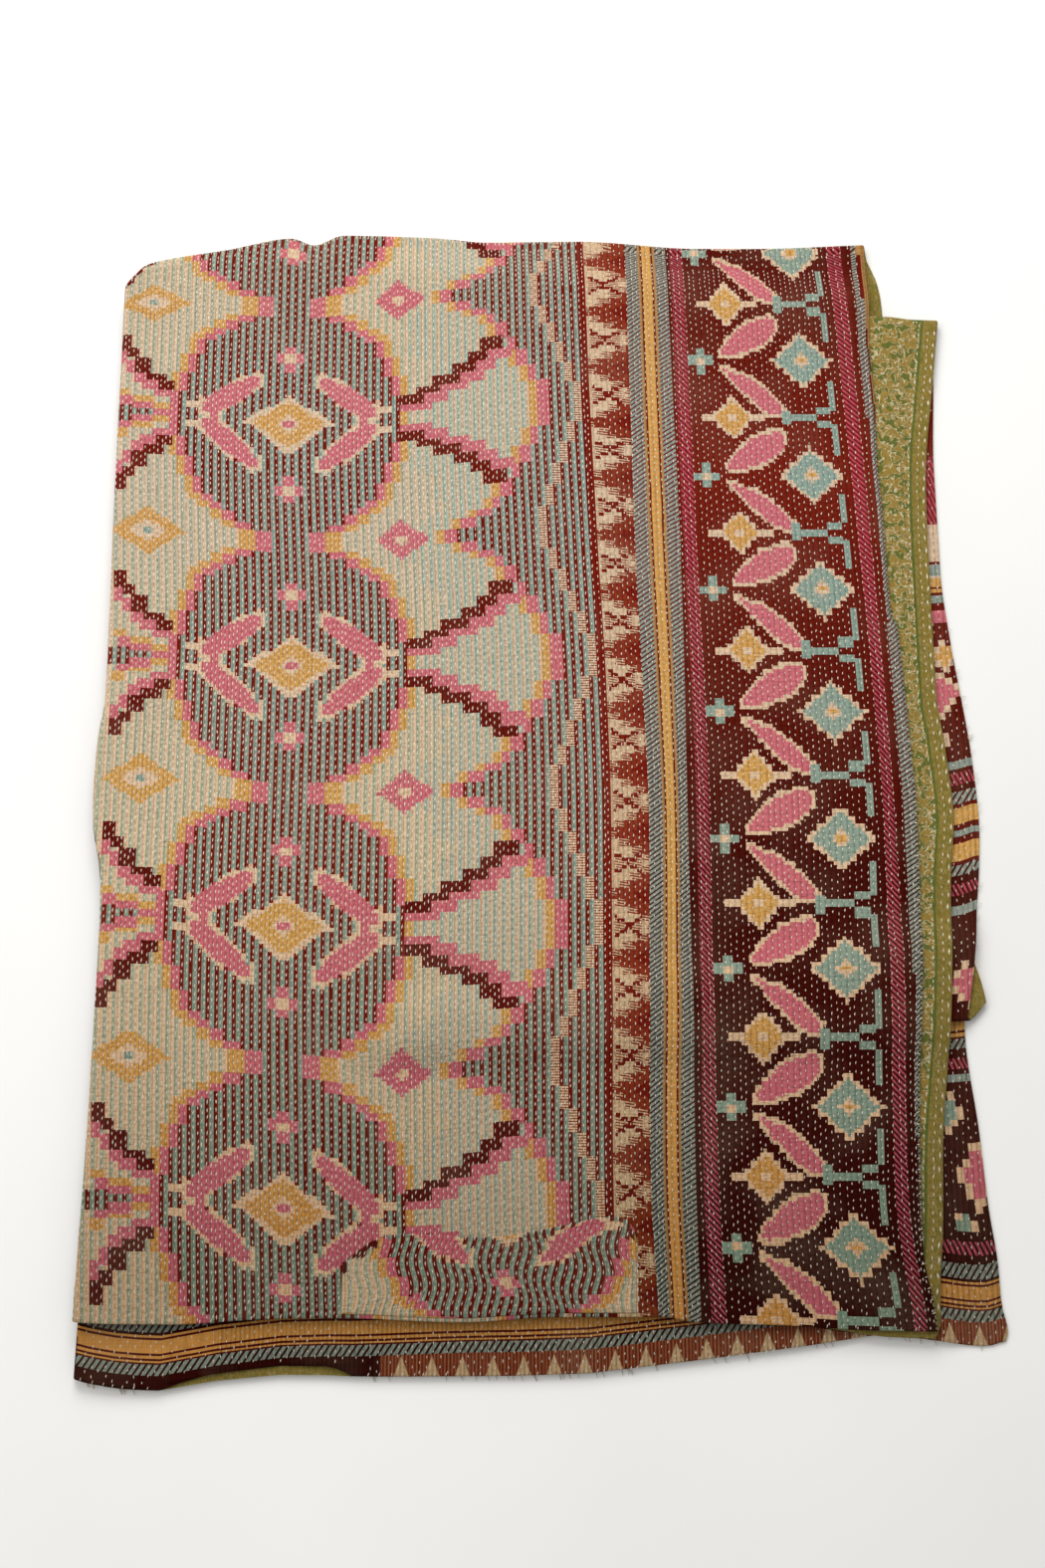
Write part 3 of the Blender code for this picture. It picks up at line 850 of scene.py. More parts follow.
def curled(grid: Array, depth: float, ends: tuple[bool, bool, bool, bool]) -> Array:
    """Lifts a cloth off the middle of the ply and curls its hems back onto it.

    Args:
        grid: the middle of the ply.
        depth: how far the cloth lies from it, negative on the other face.
        ends: which ends curl: the first and last column, then the first and last row.

    Returns:
        The cloth's points, with CURL_STEPS more columns or rows at each end that curls.
    """
    lifted = facing(grid) * depth

    def curl(edge: Array, out: Array, lift: Array) -> list[Array]:
        """Curls a hem.

        Args:
            edge: the face's last points.
            out: the way out of the cloth there.
            lift: from the middle of the ply to the face.

        Returns:
            The points from the face to the edge of the ply.
        """
        return [
            edge - lift * (1 - math.cos(turn)) - out * abs(depth) * (1 - math.sin(turn))
            for turn in np.linspace(0, math.pi / 2, CURL_STEPS + 1)
        ]

    def close(edge: Array, inner: Array, rise: Array, curls: bool) -> list[Array]:
        """Ends the cloth at its first or last row.

        Args:
            edge: the row.
            inner: the row inside it.
            rise: how far the row lies from the middle of the ply.
            curls: whether the hem curls.

        Returns:
            The points that take the row's place.
        """
        out = unit(edge - inner)
        lift = rise - out * np.sum(rise * out, axis=-1, keepdims=True)
        return curl(edge, out, lift) if curls else [edge]

    face = grid + lifted
    first, last, start, end = ends
    before = curl(face[0], unit(grid[0] - grid[1]), lifted[0])[::-1] if first else [face[0]]
    after = curl(face[-1], unit(grid[-1] - grid[-2]), lifted[-1]) if last else [face[-1]]
    across = np.concatenate([before, face[1:-1], after])
    middle = np.concatenate([[grid[0]] * len(before), grid[1:-1], [grid[-1]] * len(after)])
    rise = across - middle
    opening = close(across[:, 0], across[:, 1], rise[:, 0], start)[::-1]
    closing = close(across[:, -1], across[:, -2], rise[:, -1], end)
    return np.concatenate([np.stack(opening, 1), across[:, 1:-1], np.stack(closing, 1)], axis=1)


# How far across the far half its columns lie, from its hem: on the upper layers, and finer on the lower ones
FAR_COARSE = np.array(
    (1, 0.97, 0.9, 0.75, 0.6, 0.48, 0.45, 0.42, 0.39, 0.36, 0.33, 0.3, 0.27, 0.22, 0.15, 0.0875)
)
FAR_FINE = np.array(
    (1, 0.993, 0.985, 0.977, 0.969, 0.961, 0.952, 0.943, 0.93, 0.91, 0.87, 0.8, 0.68, 0.56, 0.48, 0.45,
     0.42, 0.39, 0.36, 0.33, 0.3, 0.27, 0.22, 0.15, 0.0875)
)


# Where the far half starts on the maps, and how far it runs on there
FAR_START = -230.0
FAR_RUN = 800.0

# Places across the cloth, in millimetres from the medallions' axis, where its bands end
FIELD_END = 74 * HALF_STRIPE
TEMPLE_END = 338.7
GROUND_START = 395.0
GROUND_END = 557.0
HEM_BAND_PLACE = 569.0
HEM_PLACE = 586.0


def cloth_columns(border_pitch: float) -> Array:
    """Places the near half's columns.

    Args:
        border_pitch: the spacing of the columns on the maroon ground.

    Returns:
        Their places: one for each half stripe, finer at the fold and bands.
    """
    left = np.arange(-53.5, -49, 1.0) * HALF_STRIPE
    roll = np.arange(-99, -80) * HALF_STRIPE / 2
    stripes = np.arange(-39.5, 73, 1.0) * HALF_STRIPE
    temple = np.linspace(FIELD_END, TEMPLE_END, 17)
    bands = (
        342, 346, 349, 351, 353.2, 354.8, 359, 363.2, 364.8, 367, 370, 373.5, 377, 379.5, 382, 386.5, 391,
        GROUND_START,
    )
    ground = np.linspace(GROUND_START, GROUND_END, round((GROUND_END - GROUND_START) / border_pitch) + 1)[1:]
    hem = (561, 565, HEM_BAND_PLACE, 572.5, 576, 579.5, 583, HEM_PLACE)
    flat = stripes[stripes > roll[-1] + 1]
    return np.concatenate([left[left < roll[0] - 1], roll, flat, temple, bands, ground, hem])


class Dye(Enum):
    """The dyed threads, as sRGB hex: lit in the upper part, in painted shade in the lower part, and in the deepest
    painted shade at the near hem.
    """

    MAROON = ("#74190c", "#771b0c", "#561206")
    TEAL = ("#8a9f93", "#8c9c8b", "#6e7e6b")
    CREAM = ("#d3b79a", "#dab894", "#bc9772")
    SAGE = ("#a8a993", "#abad90", "#8d8c73")
    IVORY = ("#c9b094", "#ceb08f", "#b49373")
    PALE = ("#a0b09f", "#a1ac98", "#8a8e79")
    PINK = ("#c76b74", "#c7686f", "#a5525a")
    OCHRE = ("#cb9856", "#ce9c54", "#ac783b")
    TAN = ("#ad804e", "#a97a48", "#8c6235")
    GREY = ("#8d998f", "#8f978a", "#727a6d")
    GROUND = ("#741e10", "#430c05", "#2a0502")
    DARK = ("#6c180b", "#5e140a", "#45100a")
    STITCHED_PINK = ("#b8485a", "#b04a55", "#93404a")
    SAND = ("#d0b496", "#ccab86", "#a98c68")
    RUST = ("#82301d", "#86301c", "#66260f")


# The dyes by their own names, since the charts name them often
MAROON, TEAL, CREAM, SAGE, IVORY, PALE, PINK, OCHRE, TAN, GREY, GROUND, DARK, STITCHED_PINK, SAND, RUST = Dye

# Places along the quilt, and how deep the painted shade is at each: toward the near hem's colours, and a little at
# the top fold
PAINTED_SHADE_ALONG = ((-470.0, -103.0, 310.0, 560.0), (1.0, 0.5, 0.0, 0.35))


class Weave(Enum):
    """How two dyes are mixed in a face of the cloth."""

    PLAIN = 0.0
    TWILL = 1.0
    COMB = 2.0
    TICKS = 3.0
    TEETH = 4.0
    STRIPES = 5.0
    STROKES = 6.0


PINK_TWILL = (STITCHED_PINK, GROUND, Weave.TWILL)
GREY_STROKES = (GREY, GROUND, Weave.STROKES)


def linear(code: str) -> tuple[float, float, float, float]:
    """Turns a hex code to a colour of the shader.

    Args:
        code: the sRGB hex code.

    Returns:
        The linear colour.
    """
    parts = [int(code[k:k + 2], 16) / 255 for k in (1, 3, 5)]
    red, green, blue = [p / 12.92 if p <= 0.04045 else ((p + 0.055) / 1.055) ** 2.4 for p in parts]
    return red, green, blue, 1.0


@dataclass
class Chart:
    """The dyes of a grid's faces, painted one shape over another.

    first and second are places in the list of dyes, and weave says how the two are mixed.
    """

    shape: tuple[int, ...]
    first: Array = field(init=False)
    second: Array = field(init=False)
    weave: Array = field(init=False)

    def __post_init__(self) -> None:
        """Starts from plain maroon."""
        self.first = np.zeros(self.shape, int)
        self.second = np.zeros(self.shape, int)
        self.weave = np.zeros(self.shape)

    def paint(self, where: Array, dye: Dye, second: Dye | None = None, weave: Weave = Weave.PLAIN) -> None:
        """Dyes the faces of a mask.

        Args:
            where: the faces.
            dye: their dye.
            second: the other dye, where two are mixed.
            weave: how they are mixed.
        """
        dyes = list(Dye)
        self.first[where] = dyes.index(dye)
        self.second[where] = dyes.index(second or dye)
        self.weave[where] = weave.value

    def paint_over(self, within: Array, *shapes: tuple) -> None:
        """Dyes shapes one over another: the faces of each, then its dye, or its two dyes and weave."""
        for where, *dyes in shapes:
            self.paint(within & where, *dyes)

    def stripe(self, where: Array, odd: Array, one: Dye, other: Dye) -> None:
        """Dyes the odd half stripes with one dye and the even ones with the other."""
        self.paint(where & odd, one)
        self.paint(where & ~odd, other)

    def values(self, low: Array) -> Array:
        """What the mesh keeps of each face.

        Args:
            low: how deep the painted shade of each face is, from 0 in the upper part to 1 at the near hem.

        Returns:
            A row for each face: its two linear colours, then its weave.
        """
        share = 2 * low[..., None]
        parts = []
        for which in (self.first, self.second):
            upper, lower, near = (np.array([linear(dye.value[k]) for dye in Dye])[which] for k in range(3))
            parts.append(blend(blend(upper, lower, np.minimum(share, 1)), near, np.maximum(share - 1, 0)))
        return np.concatenate([*parts, self.weave[..., None]], axis=-1).reshape(-1, 9)


def in_box(wide: Array, high: Array, near: float, far: float, low: float, top: float) -> Array:
    """Which faces lie in a box across and along."""
    return (wide >= near) & (wide < far) & (high >= low) & (high < top)


@dataclass
class FieldPattern:
    """Medallions on fine stripes, with petals on both sides of them.

    across is each face's place from the medallions' axis in half stripes, level its place along the
    pattern, and within tells the field's faces. Heights are above the nearest medallion's middle.
    """

    chart: Chart
    across: Array
    level: Array
    within: Array

    first_middle: float = 358.0
    period: float = 259.2
    # Rows of (height above the middle, half width, width of the pink step, width of the ochre step)
    outline: tuple = (
        (23.5, 28, 2, 0), (47, 26, 2, 2), (67, 24, 2, 2), (86, 22, 2, 2), (94.5, 19, 3, 3), (102, 16.5, 3, 3),
        (110, 14, 3, 3), (118, 10, 4, 3), (131, 5, 3.5, 4),
    )
    # Rows of (height above the middle, inner edge of the petals' pink step, its width)
    petals: tuple = (
        (23.5, 62, 2.5), (44.6, 59.5, 2.5), (60, 56.7, 2.5), (76, 54.2, 2.3), (92, 52, 2.3), (104, 49.3, 2.7),
        (112, 45.5, 3.8), (121, 41.3, 4), (131, 37.7, 3.3),
    )
    # The stepped lines: their side, dye, and boxes of (from, to) across and (from, to) above the middle
    steps: tuple = (
        (1, DARK, (
            (28, 34, 15, 24), (32, 38, 24, 34), (36, 43, 34, 43.5), (41, 47, 43.5, 54.5), (44.5, 50, 54.5, 66.5),
            (48, 54, 66.5, 78),
        )),
        (1, PINK, (
            (28, 36, 7, 15), (34, 40, 14.5, 24), (38, 45, 24, 34), (43, 49, 33.5, 43.5), (47, 52, 43.5, 54.5),
            (50, 55.5, 55.5, 66.5),
        )),
        (-1, DARK, (
            (29, 33, 26, 36), (31, 36.5, 35, 45), (35, 39, 44, 62), (37.5, 40.5, 61, 71), (39.5, 42.5, 68, 87),
        )),
        (-1, PINK, (
            (29, 33.5, 17, 26), (33, 37, 25, 35), (36, 39, 33, 44), (38.5, 41, 42, 58), (40.5, 42.5, 55, 68),
        )),
    )
    # The same for the small fan at the side fold, each box with its dye
    fan: tuple = (
        (30, 34, 0, 5, PINK), (30, 34, 5, 12, OCHRE), (34, 39, 5, 12.5, PINK),
        (34, 39, 12.5, 19, OCHRE), (39, 42, 9, 18, PINK), (40, 43, 18, 27, OCHRE),
    )
    # Rows of (across, from, to) above the middle: the pink leaves beside the centre
    leaf: tuple = (
        (7.5, 44, 49), (8.5, 39, 50), (10, 31, 47.5), (12, 23.5, 43), (14, 17.5, 38.5),
        (16, 11.5, 33.5), (18, 6, 26.5), (20, 5, 19), (21, 7, 14),
    )
    # Rows of (from, to) above the middle and the place across: the ticks beyond the petals
    ticks: tuple = ((0, 23, 72), (23, 44, 70), (44, 65, 68), (65, 88, 66), (88, 108, 64), (108, 131, 62))
    cross_height: float = 73.0
    above: Array = field(init=False)
    high: Array = field(init=False)
    wide: Array = field(init=False)
    odd: Array = field(init=False)

    def __post_init__(self) -> None:
        """Finds each face's height, its distances from the middle, and the odd half stripes."""
        number = np.round((self.first_middle - self.level) / self.period)
        self.above = self.level - (self.first_middle - number * self.period)
        self.high, self.wide = np.abs(self.above), np.abs(self.across)
        self.odd = np.mod(self.across, 2) >= 1

    def paint(self) -> None:
        """Dyes the stripes, medallions and petals."""
        chart, across, within = self.chart, self.across, self.within
        high, wide, odd = self.high, self.wide, self.odd
        right, left = across > 0, across < 0

        def step(rows: tuple) -> list[Array]:
            """The values of the first row that is as high as each face."""
            limits, *columns = np.array(rows, float).T
            return [values[np.minimum(np.searchsorted(limits, high), len(rows) - 1)] for values in columns]

        half, pink, ochre = step(self.outline)
        edge, rim = step(self.petals)
        chart.stripe(within, odd, MAROON, TEAL)
        pale = within & (wide >= half) & (left | (across < edge))
        chart.stripe(pale, odd, CREAM, SAGE)
        cool = across > 33 + 4 * np.sin(self.level / 19) + 2 * np.sin(self.level / 5)
        chart.stripe(pale & cool, odd, IVORY, PALE)
        chart.paint_over(
            pale,
            (right & (across >= edge - 2) & ((high < 60) | (high > 76)), OCHRE),
            (wide < half + pink + ochre, OCHRE),
            ((wide < half + pink) & (left | (high > 23.5)), PINK),
        )
        chart.paint(within & right & (across >= edge) & (across < edge + rim), PINK)
        for side, dye, boxes in self.steps:
            for box in boxes:
                chart.paint(within & in_box(side * across, high, *box), dye)
        self.paint_fan()
        self.paint_diamonds()
        self.paint_middle()
        self.paint_ticks()

    def paint_fan(self) -> None:
        """Dyes the small fan between the steps at the side fold."""
        left = self.within & (self.across < 0)
        self.chart.stripe(left & (self.wide >= 39) & (self.high < 9), self.odd, MAROON, TEAL)
        for *box, dye in self.fan:
            self.chart.paint(left & in_box(self.wide, self.high, *box), dye)
        self.chart.stripe(left & in_box(self.wide, self.high, 34, 39, 0, 5), self.odd, MAROON, TEAL)

    def paint_diamonds(self) -> None:
        """Dyes the small diamonds level with the necks: an ochre ring to the left, a pink one to the right."""
        below = self.period / 2 - self.high
        ring = np.abs(self.across + 34.5) / 9.2 + below / 25
        solid = np.abs(self.across - 27.1) / 6.6 + below / 22
        self.chart.paint_over(
            self.within, (ring < 1, OCHRE), (ring < 0.5, CREAM), (ring < 0.22, TEAL), (solid < 1, PINK),
            (solid < 0.26, CREAM),
        )

    def paint_middle(self) -> None:
        """Dyes the medallion's own diamond, leaves and crosses."""
        high, wide = self.high, self.wide
        places, starts, ends = zip(*self.leaf)
        low, top = np.interp(wide, places, starts), np.interp(wide, places, ends)
        rough = 1.5 * np.where(np.mod(np.round(self.across + self.above / 3.6), 2) == 0, 1, -1)
        body = wide / 10.7 + high / 31
        self.chart.paint_over(
            self.within,
            ((wide > 6.4) & (wide < 22.2) & (high > low - 5.2 + rough) & (high < top + 5.2 + rough), CREAM),
            ((wide > 16.6) & (wide < 21.4) & (high < 5), CREAM),
            ((wide > 7.2) & (wide < 21.6) & (high > low - 2) & (high < top + 2), PINK),
            ((wide >= 18) & (wide < 20) & (high < 12), PINK),
            ((wide >= 22) & (wide < 26) & (high >= 7.5) & (high < 14), CREAM),
            (body + 0.03 * rough < 1.04, CREAM),
            (body < 0.84, OCHRE),
            (wide / 3.2 + high / 13 < 0.82, CREAM),
            ((wide < 1.3) & (high < 4.5), PINK),
        )
        for middle in (-self.cross_height, self.cross_height):
            rise = np.abs(self.above - middle)
            cross = ((wide < 3.5) & (rise < 5)) | ((wide < 1.3) & (rise < 14.5))
            self.chart.paint_over(self.within, (cross, PINK), ((wide < 1.3) & (rise < 4.6), CREAM))

    def paint_ticks(self) -> None:
        """Dyes the zigzag of cream ticks in the stripes beyond the petals."""
        for low, top, place in self.ticks:
            here = in_box(self.across, self.high, place - 1, place + 0.7, low, top)
            self.chart.paint(self.within & here, CREAM, MAROON, Weave.TICKS)


@dataclass
class BorderPattern:
    """The bands beside the field and the maroon border with its diamonds and leaves.

    cloth is each face's place across, y its place along the quilt, and beyond its distance beyond the
    outer pink band. Places on the maroon ground are shares of its width, and heights above the nearest
    teal diamond's middle.
    """

    chart: Chart
    cloth: Array
    y: Array
    beyond: Array

    # Bands from each place on, and then from each distance beyond the outer pink band
    bands: tuple = (
        (TEMPLE_END, *GREY_STROKES), (351, TAN), (353.2, DARK), (354.8, OCHRE), (363.2, DARK),
        (364.8, TAN), (367, *GREY_STROKES), (377, GROUND), (382, *PINK_TWILL), (GROUND_START, GROUND),
        (GROUND_END, *PINK_TWILL), (HEM_BAND_PLACE, MAROON),
    )
    hem_bands: tuple = ((-9, GROUND), (8.5, *GREY_STROKES), (16, DARK), (17.5, TAN))
    period: float = 126.5
    diamonds: tuple = (429.2, 301.5, 179.2, 51.9, -74.8, -202.7, -329.4, -455.0)
    comb_period: float = 61.3
    comb_start: float = 54.0
    comb_row: float = 3.65
    # Rows of (share across, from, to): the leaf below a vertex, then the one above it
    lower_leaf: tuple = (
        (0.21, 6, 9), (0.26, 7, 18), (0.31, 12, 29), (0.37, 14, 40), (0.43, 21, 50), (0.49, 29, 59),
        (0.55, 39, 62), (0.61, 52, 63),
    )
    upper_leaf: tuple = (
        (0.21, 6, 11), (0.26, 4, 23), (0.32, 4.5, 33), (0.38, 7.5, 42), (0.44, 10.5, 46), (0.5, 15, 49),
        (0.56, 23, 51), (0.6, 33, 46),
    )

    def paint(self) -> None:
        """Dyes everything between the field and the hem."""
        for start, *dyes in self.bands:
            self.chart.paint(self.cloth >= start, *dyes)
        for start, *dyes in self.hem_bands:
            here = (self.beyond >= start) & ((start < 10) | (self.y > 250))
            self.chart.paint((self.cloth >= HEM_BAND_PLACE) & here, *dyes)
        self.paint_temple()
        self.paint_ground()

    def paint_temple(self) -> None:
        """Dyes comb-like triangles from the right, with small winged shapes between them."""
        share = (self.cloth - FIELD_END) / (TEMPLE_END - FIELD_END)
        turn = (self.y - self.comb_start) / self.comb_period
        off = np.abs(turn - np.round(turn)) * self.comb_period
        wing = off - self.comb_period / 2 + 22 * np.abs(share - 0.48)
        bow = (share > 0.15) & (share < 0.8) & (wing > -3.5)
        rough = share + np.where(np.mod(np.round(self.y / self.comb_row), 2) == 0, 0.12, -0.08)
        self.chart.paint_over(
            (share >= 0) & (share < 1),
            (share >= 0, SAND),
            ((share > 0.08) & (off < 4 + 24 * rough), RUST, SAND, Weave.COMB),
            ((share > 0.08) & (off < 23 * rough - 1), RUST),
            ((share > 0.08) & (off < 26 * (share - 0.6)), MAROON),
            (bow, MAROON),
            (bow & (wing > 0.5), SAND, RUST, Weave.COMB),
            (share < 0.06, MAROON),
        )

    def paint_ground(self) -> None:
        """Dyes teal and ochre diamonds, crosses, pink leaves and the teal brackets beside them."""
        share, y = (self.cloth - GROUND_START) / (GROUND_END - GROUND_START), self.y
        middles = np.array(sorted(self.diamonds))
        count = np.interp(y, middles, np.arange(len(middles)))
        count = np.where(y > middles[-1], len(middles) - 1 + (y - middles[-1]) / self.period, count)
        count = np.where(y < middles[0], (y - middles[0]) / self.period, count)
        above = (count - np.round(count)) * self.period
        high = np.abs(above)
        below = self.period / 2 - high
        inside = (share >= 0) & (share < 1)
        rough = np.where(np.mod(np.round(share * 54) + np.round(y / 3.6), 2) == 0, 0.06, -0.04)

        def leaf(rows: tuple, side: int, grow: float | Array) -> Array:
            """Outlines a leaf.

            Args:
                rows: the leaf's rows.
                side: 1 above the vertex, -1 below it.
                grow: how much larger it is drawn, in millimetres.

            Returns:
                The leaf's faces.
            """
            places, starts, ends = zip(*rows)
            low, top = np.interp(share, places, starts) - grow, np.interp(share, places, ends) + grow
            reach = (share > places[0] - grow * 0.006) & (share < places[-1] + grow * 0.006)
            return reach & (side * above > low) & (side * above < top)

        for rows, side in ((self.lower_leaf, -1), (self.upper_leaf, 1)):
            self.chart.paint_over(
                inside, (leaf(rows, side, 1.6 + 14 * rough), CREAM), (leaf(rows, side, -2.6), PINK)
            )
        off, aside, edge = np.abs(share - 0.75), np.abs(share - 0.27), np.abs(share - 0.087)
        teal, ochre = off / 0.2 + high / 31, aside / 0.135 + below / 24
        self.chart.paint_over(
            inside,
            (teal + rough < 1.03, CREAM),
            (teal < 0.86, TEAL),
            (off / 0.06 + high / 9 < 1, CREAM),
            ((off < 0.02) & (high < 2.5), OCHRE),
            ((aside < 0.205) & (below < 3.8), CREAM),
            (ochre + rough < 1.05, CREAM),
            (ochre < 0.82, OCHRE),
            ((aside < 0.03) & (below < 3.7), CREAM),
            (((edge < 0.08) & (high < 4.6)) | ((edge < 0.027) & (high < 14)), TEAL),
            ((edge < 0.027) & (high < 3.7), CREAM),
            ((share > 0.6) & (share < 0.65) & (below < 9), TEAL),
            ((share > 0.64) & (share < 0.82) & (below < 4), TEAL),
            ((share > 0.82) & (share < 0.9) & (below > 4) & (below < 12), TEAL),
            ((share > 0.9) & (share < 0.95) & (below > 9) & (below < 42), TEAL),
        )


@dataclass
class StripPattern:
    """The bands and part motifs that show along the far half's hem, and along its near hem.

    Places are x and the level of a row beside the far half's hem.
    """

    # Rows of (from this level down, dye, second dye, weave)
    bands: tuple = (
        (600, GROUND), (328, *PINK_TWILL), (254, CREAM), (214, DARK), (211, GREY), (199, CREAM), (196, OCHRE),
        (187, DARK), (185, OCHRE), (181, DARK), (178, GREY), (170, GROUND), (162, PINK), (149, GROUND), (5, GREY),
        (-3, GROUND), (-7, *PINK_TWILL), (-19, GROUND), (-26, *GREY_STROKES), (-38, DARK), (-42, OCHRE),
        (-58, DARK), (-64, GREY), (-70, DARK), (-77, OCHRE), (-94, DARK), (-98, *GREY_STROKES), (-108, GROUND),
        (-116, *PINK_TWILL), (-127, GROUND), (-137, GREY), (-143, GROUND),
    )
    lower: tuple = (
        (-100, OCHRE), (-255, DARK), (-257.5, OCHRE), (-261, DARK), (-263, *GREY_STROKES), (-272, GROUND),
        (-281, *PINK_TWILL), (-291, GROUND), (-296, GREY), (-303, GROUND), (-449, *PINK_TWILL), (-461, GROUND),
        (-469, *GREY_STROKES), (-482, GROUND), (-484.5, OCHRE), (-486.5, DARK), (-488.5, OCHRE), (-500, DARK),
        (-502, OCHRE), (-504.5, DARK), (-506.5, OCHRE), (-508, DARK), (-509.5, *GREY_STROKES), (-519, GROUND),
    )
    # Rows of (x, level, half width, half height, dye): the diamonds that the hems cut off
    motifs: tuple = (
        (397, 114, 12, 17, OCHRE), (391, 75, 22, 23, PINK), (392, 28, 7, 7, CREAM), (399, -213, 15, 20, PINK),
        (375, -332, 15, 17, TEAL), (399, -389, 18, 30, PINK), (384, -434, 11, 11, TEAL),
    )
    motif_start: float = 350.0
    teeth_start: float = -140.0
    teeth_level: float = -519.0

    def paint(self, chart: Chart, x: Array, level: Array, past_tuck: Array, within: Array) -> None:
        """Dyes the far half where it lies face up.

        Args:
            chart: the chart to dye.
            x: each face's x.
            level: each face's level.
            past_tuck: the faces past the tuck.
            within: the faces of the far half's lower layers.
        """
        for rows, where in ((self.bands, within & ~past_tuck), (self.lower, within & past_tuck)):
            for start, *dyes in rows:
                chart.paint(where & (level < start), *dyes)
        teeth = past_tuck & (level < self.teeth_level) & (x > self.teeth_start)
        chart.paint(within & teeth, RUST, SAND, Weave.TEETH)
        for at, height, wide, high, dye in self.motifs:
            off = np.abs(x - at) / wide + np.abs(level - height) / high
            chart.paint_over(within & (x > self.motif_start), (off < 1.15, CREAM), (off < 0.85, dye))


def add_values(mesh: Mesh, name: str, kind: str, domain: str, values: Array) -> None:
    """Writes an attribute to a mesh.

    Args:
        mesh: the mesh.
        name: the attribute's name.
        kind: its data type.
        domain: what it is stored on.
        values: one row for each element.
    """
    made = mesh.attributes.new(name, kind, domain)
    key = {"FLOAT": "value", "FLOAT_COLOR": "color", "FLOAT_VECTOR": "vector"}[kind]
    made.data.foreach_set(key, np.ascontiguousarray(values, np.float32).ravel())


def add_map(mesh: Mesh, name: str, points: Array) -> None:
    """Writes a UV map.

    Args:
        mesh: the mesh.
        name: the map's name.
        points: the place of each point of the mesh.
    """
    layer = mesh.uv_layers.new(name=name)
    corners = np.empty(len(mesh.loops), np.int32)
    mesh.loops.foreach_get("vertex_index", corners)
    layer.data.foreach_set("uv", np.ascontiguousarray(points[corners], np.float32).ravel())


def filled(values: list[float], widest: float) -> list[float]:
    """Fills wide gaps.

    Args:
        values: the values that must be there.
        widest: the widest step.

    Returns:
        The values from the highest down, with more between those too far apart.
    """
    falling = sorted(set(values), reverse=True)
    made = [falling[0]]
    for value in falling[1:]:
        count = max(1, math.ceil((made[-1] - value) / widest))
        made += [made[-1] + (value - made[-1]) * (k + 1) / count for k in range(count)]
    return made


# More rows where the motifs' edges slope, and down to the hem
MOTIF_LEVELS = (
    470, 131, 124, 117, 110, 103, 97, 91, 84, 77, 70, 63, 56, 35, 28, 21, -200, -215, -230, -320, -332, -344, -360,
    -389, -418, -430, -440, -525, -530, -534.5, -537.5,
)
WIDEST_STRIP_ROW = 9.0


def banded_levels() -> list[float]:
    """Levels for rows that follow the edges of the bands and motifs along the far half's hem."""
    bands = [row[0] for row in (*StripPattern.bands[1:], *StripPattern.lower[1:])]
    return filled([*bands, *MOTIF_LEVELS], WIDEST_STRIP_ROW)


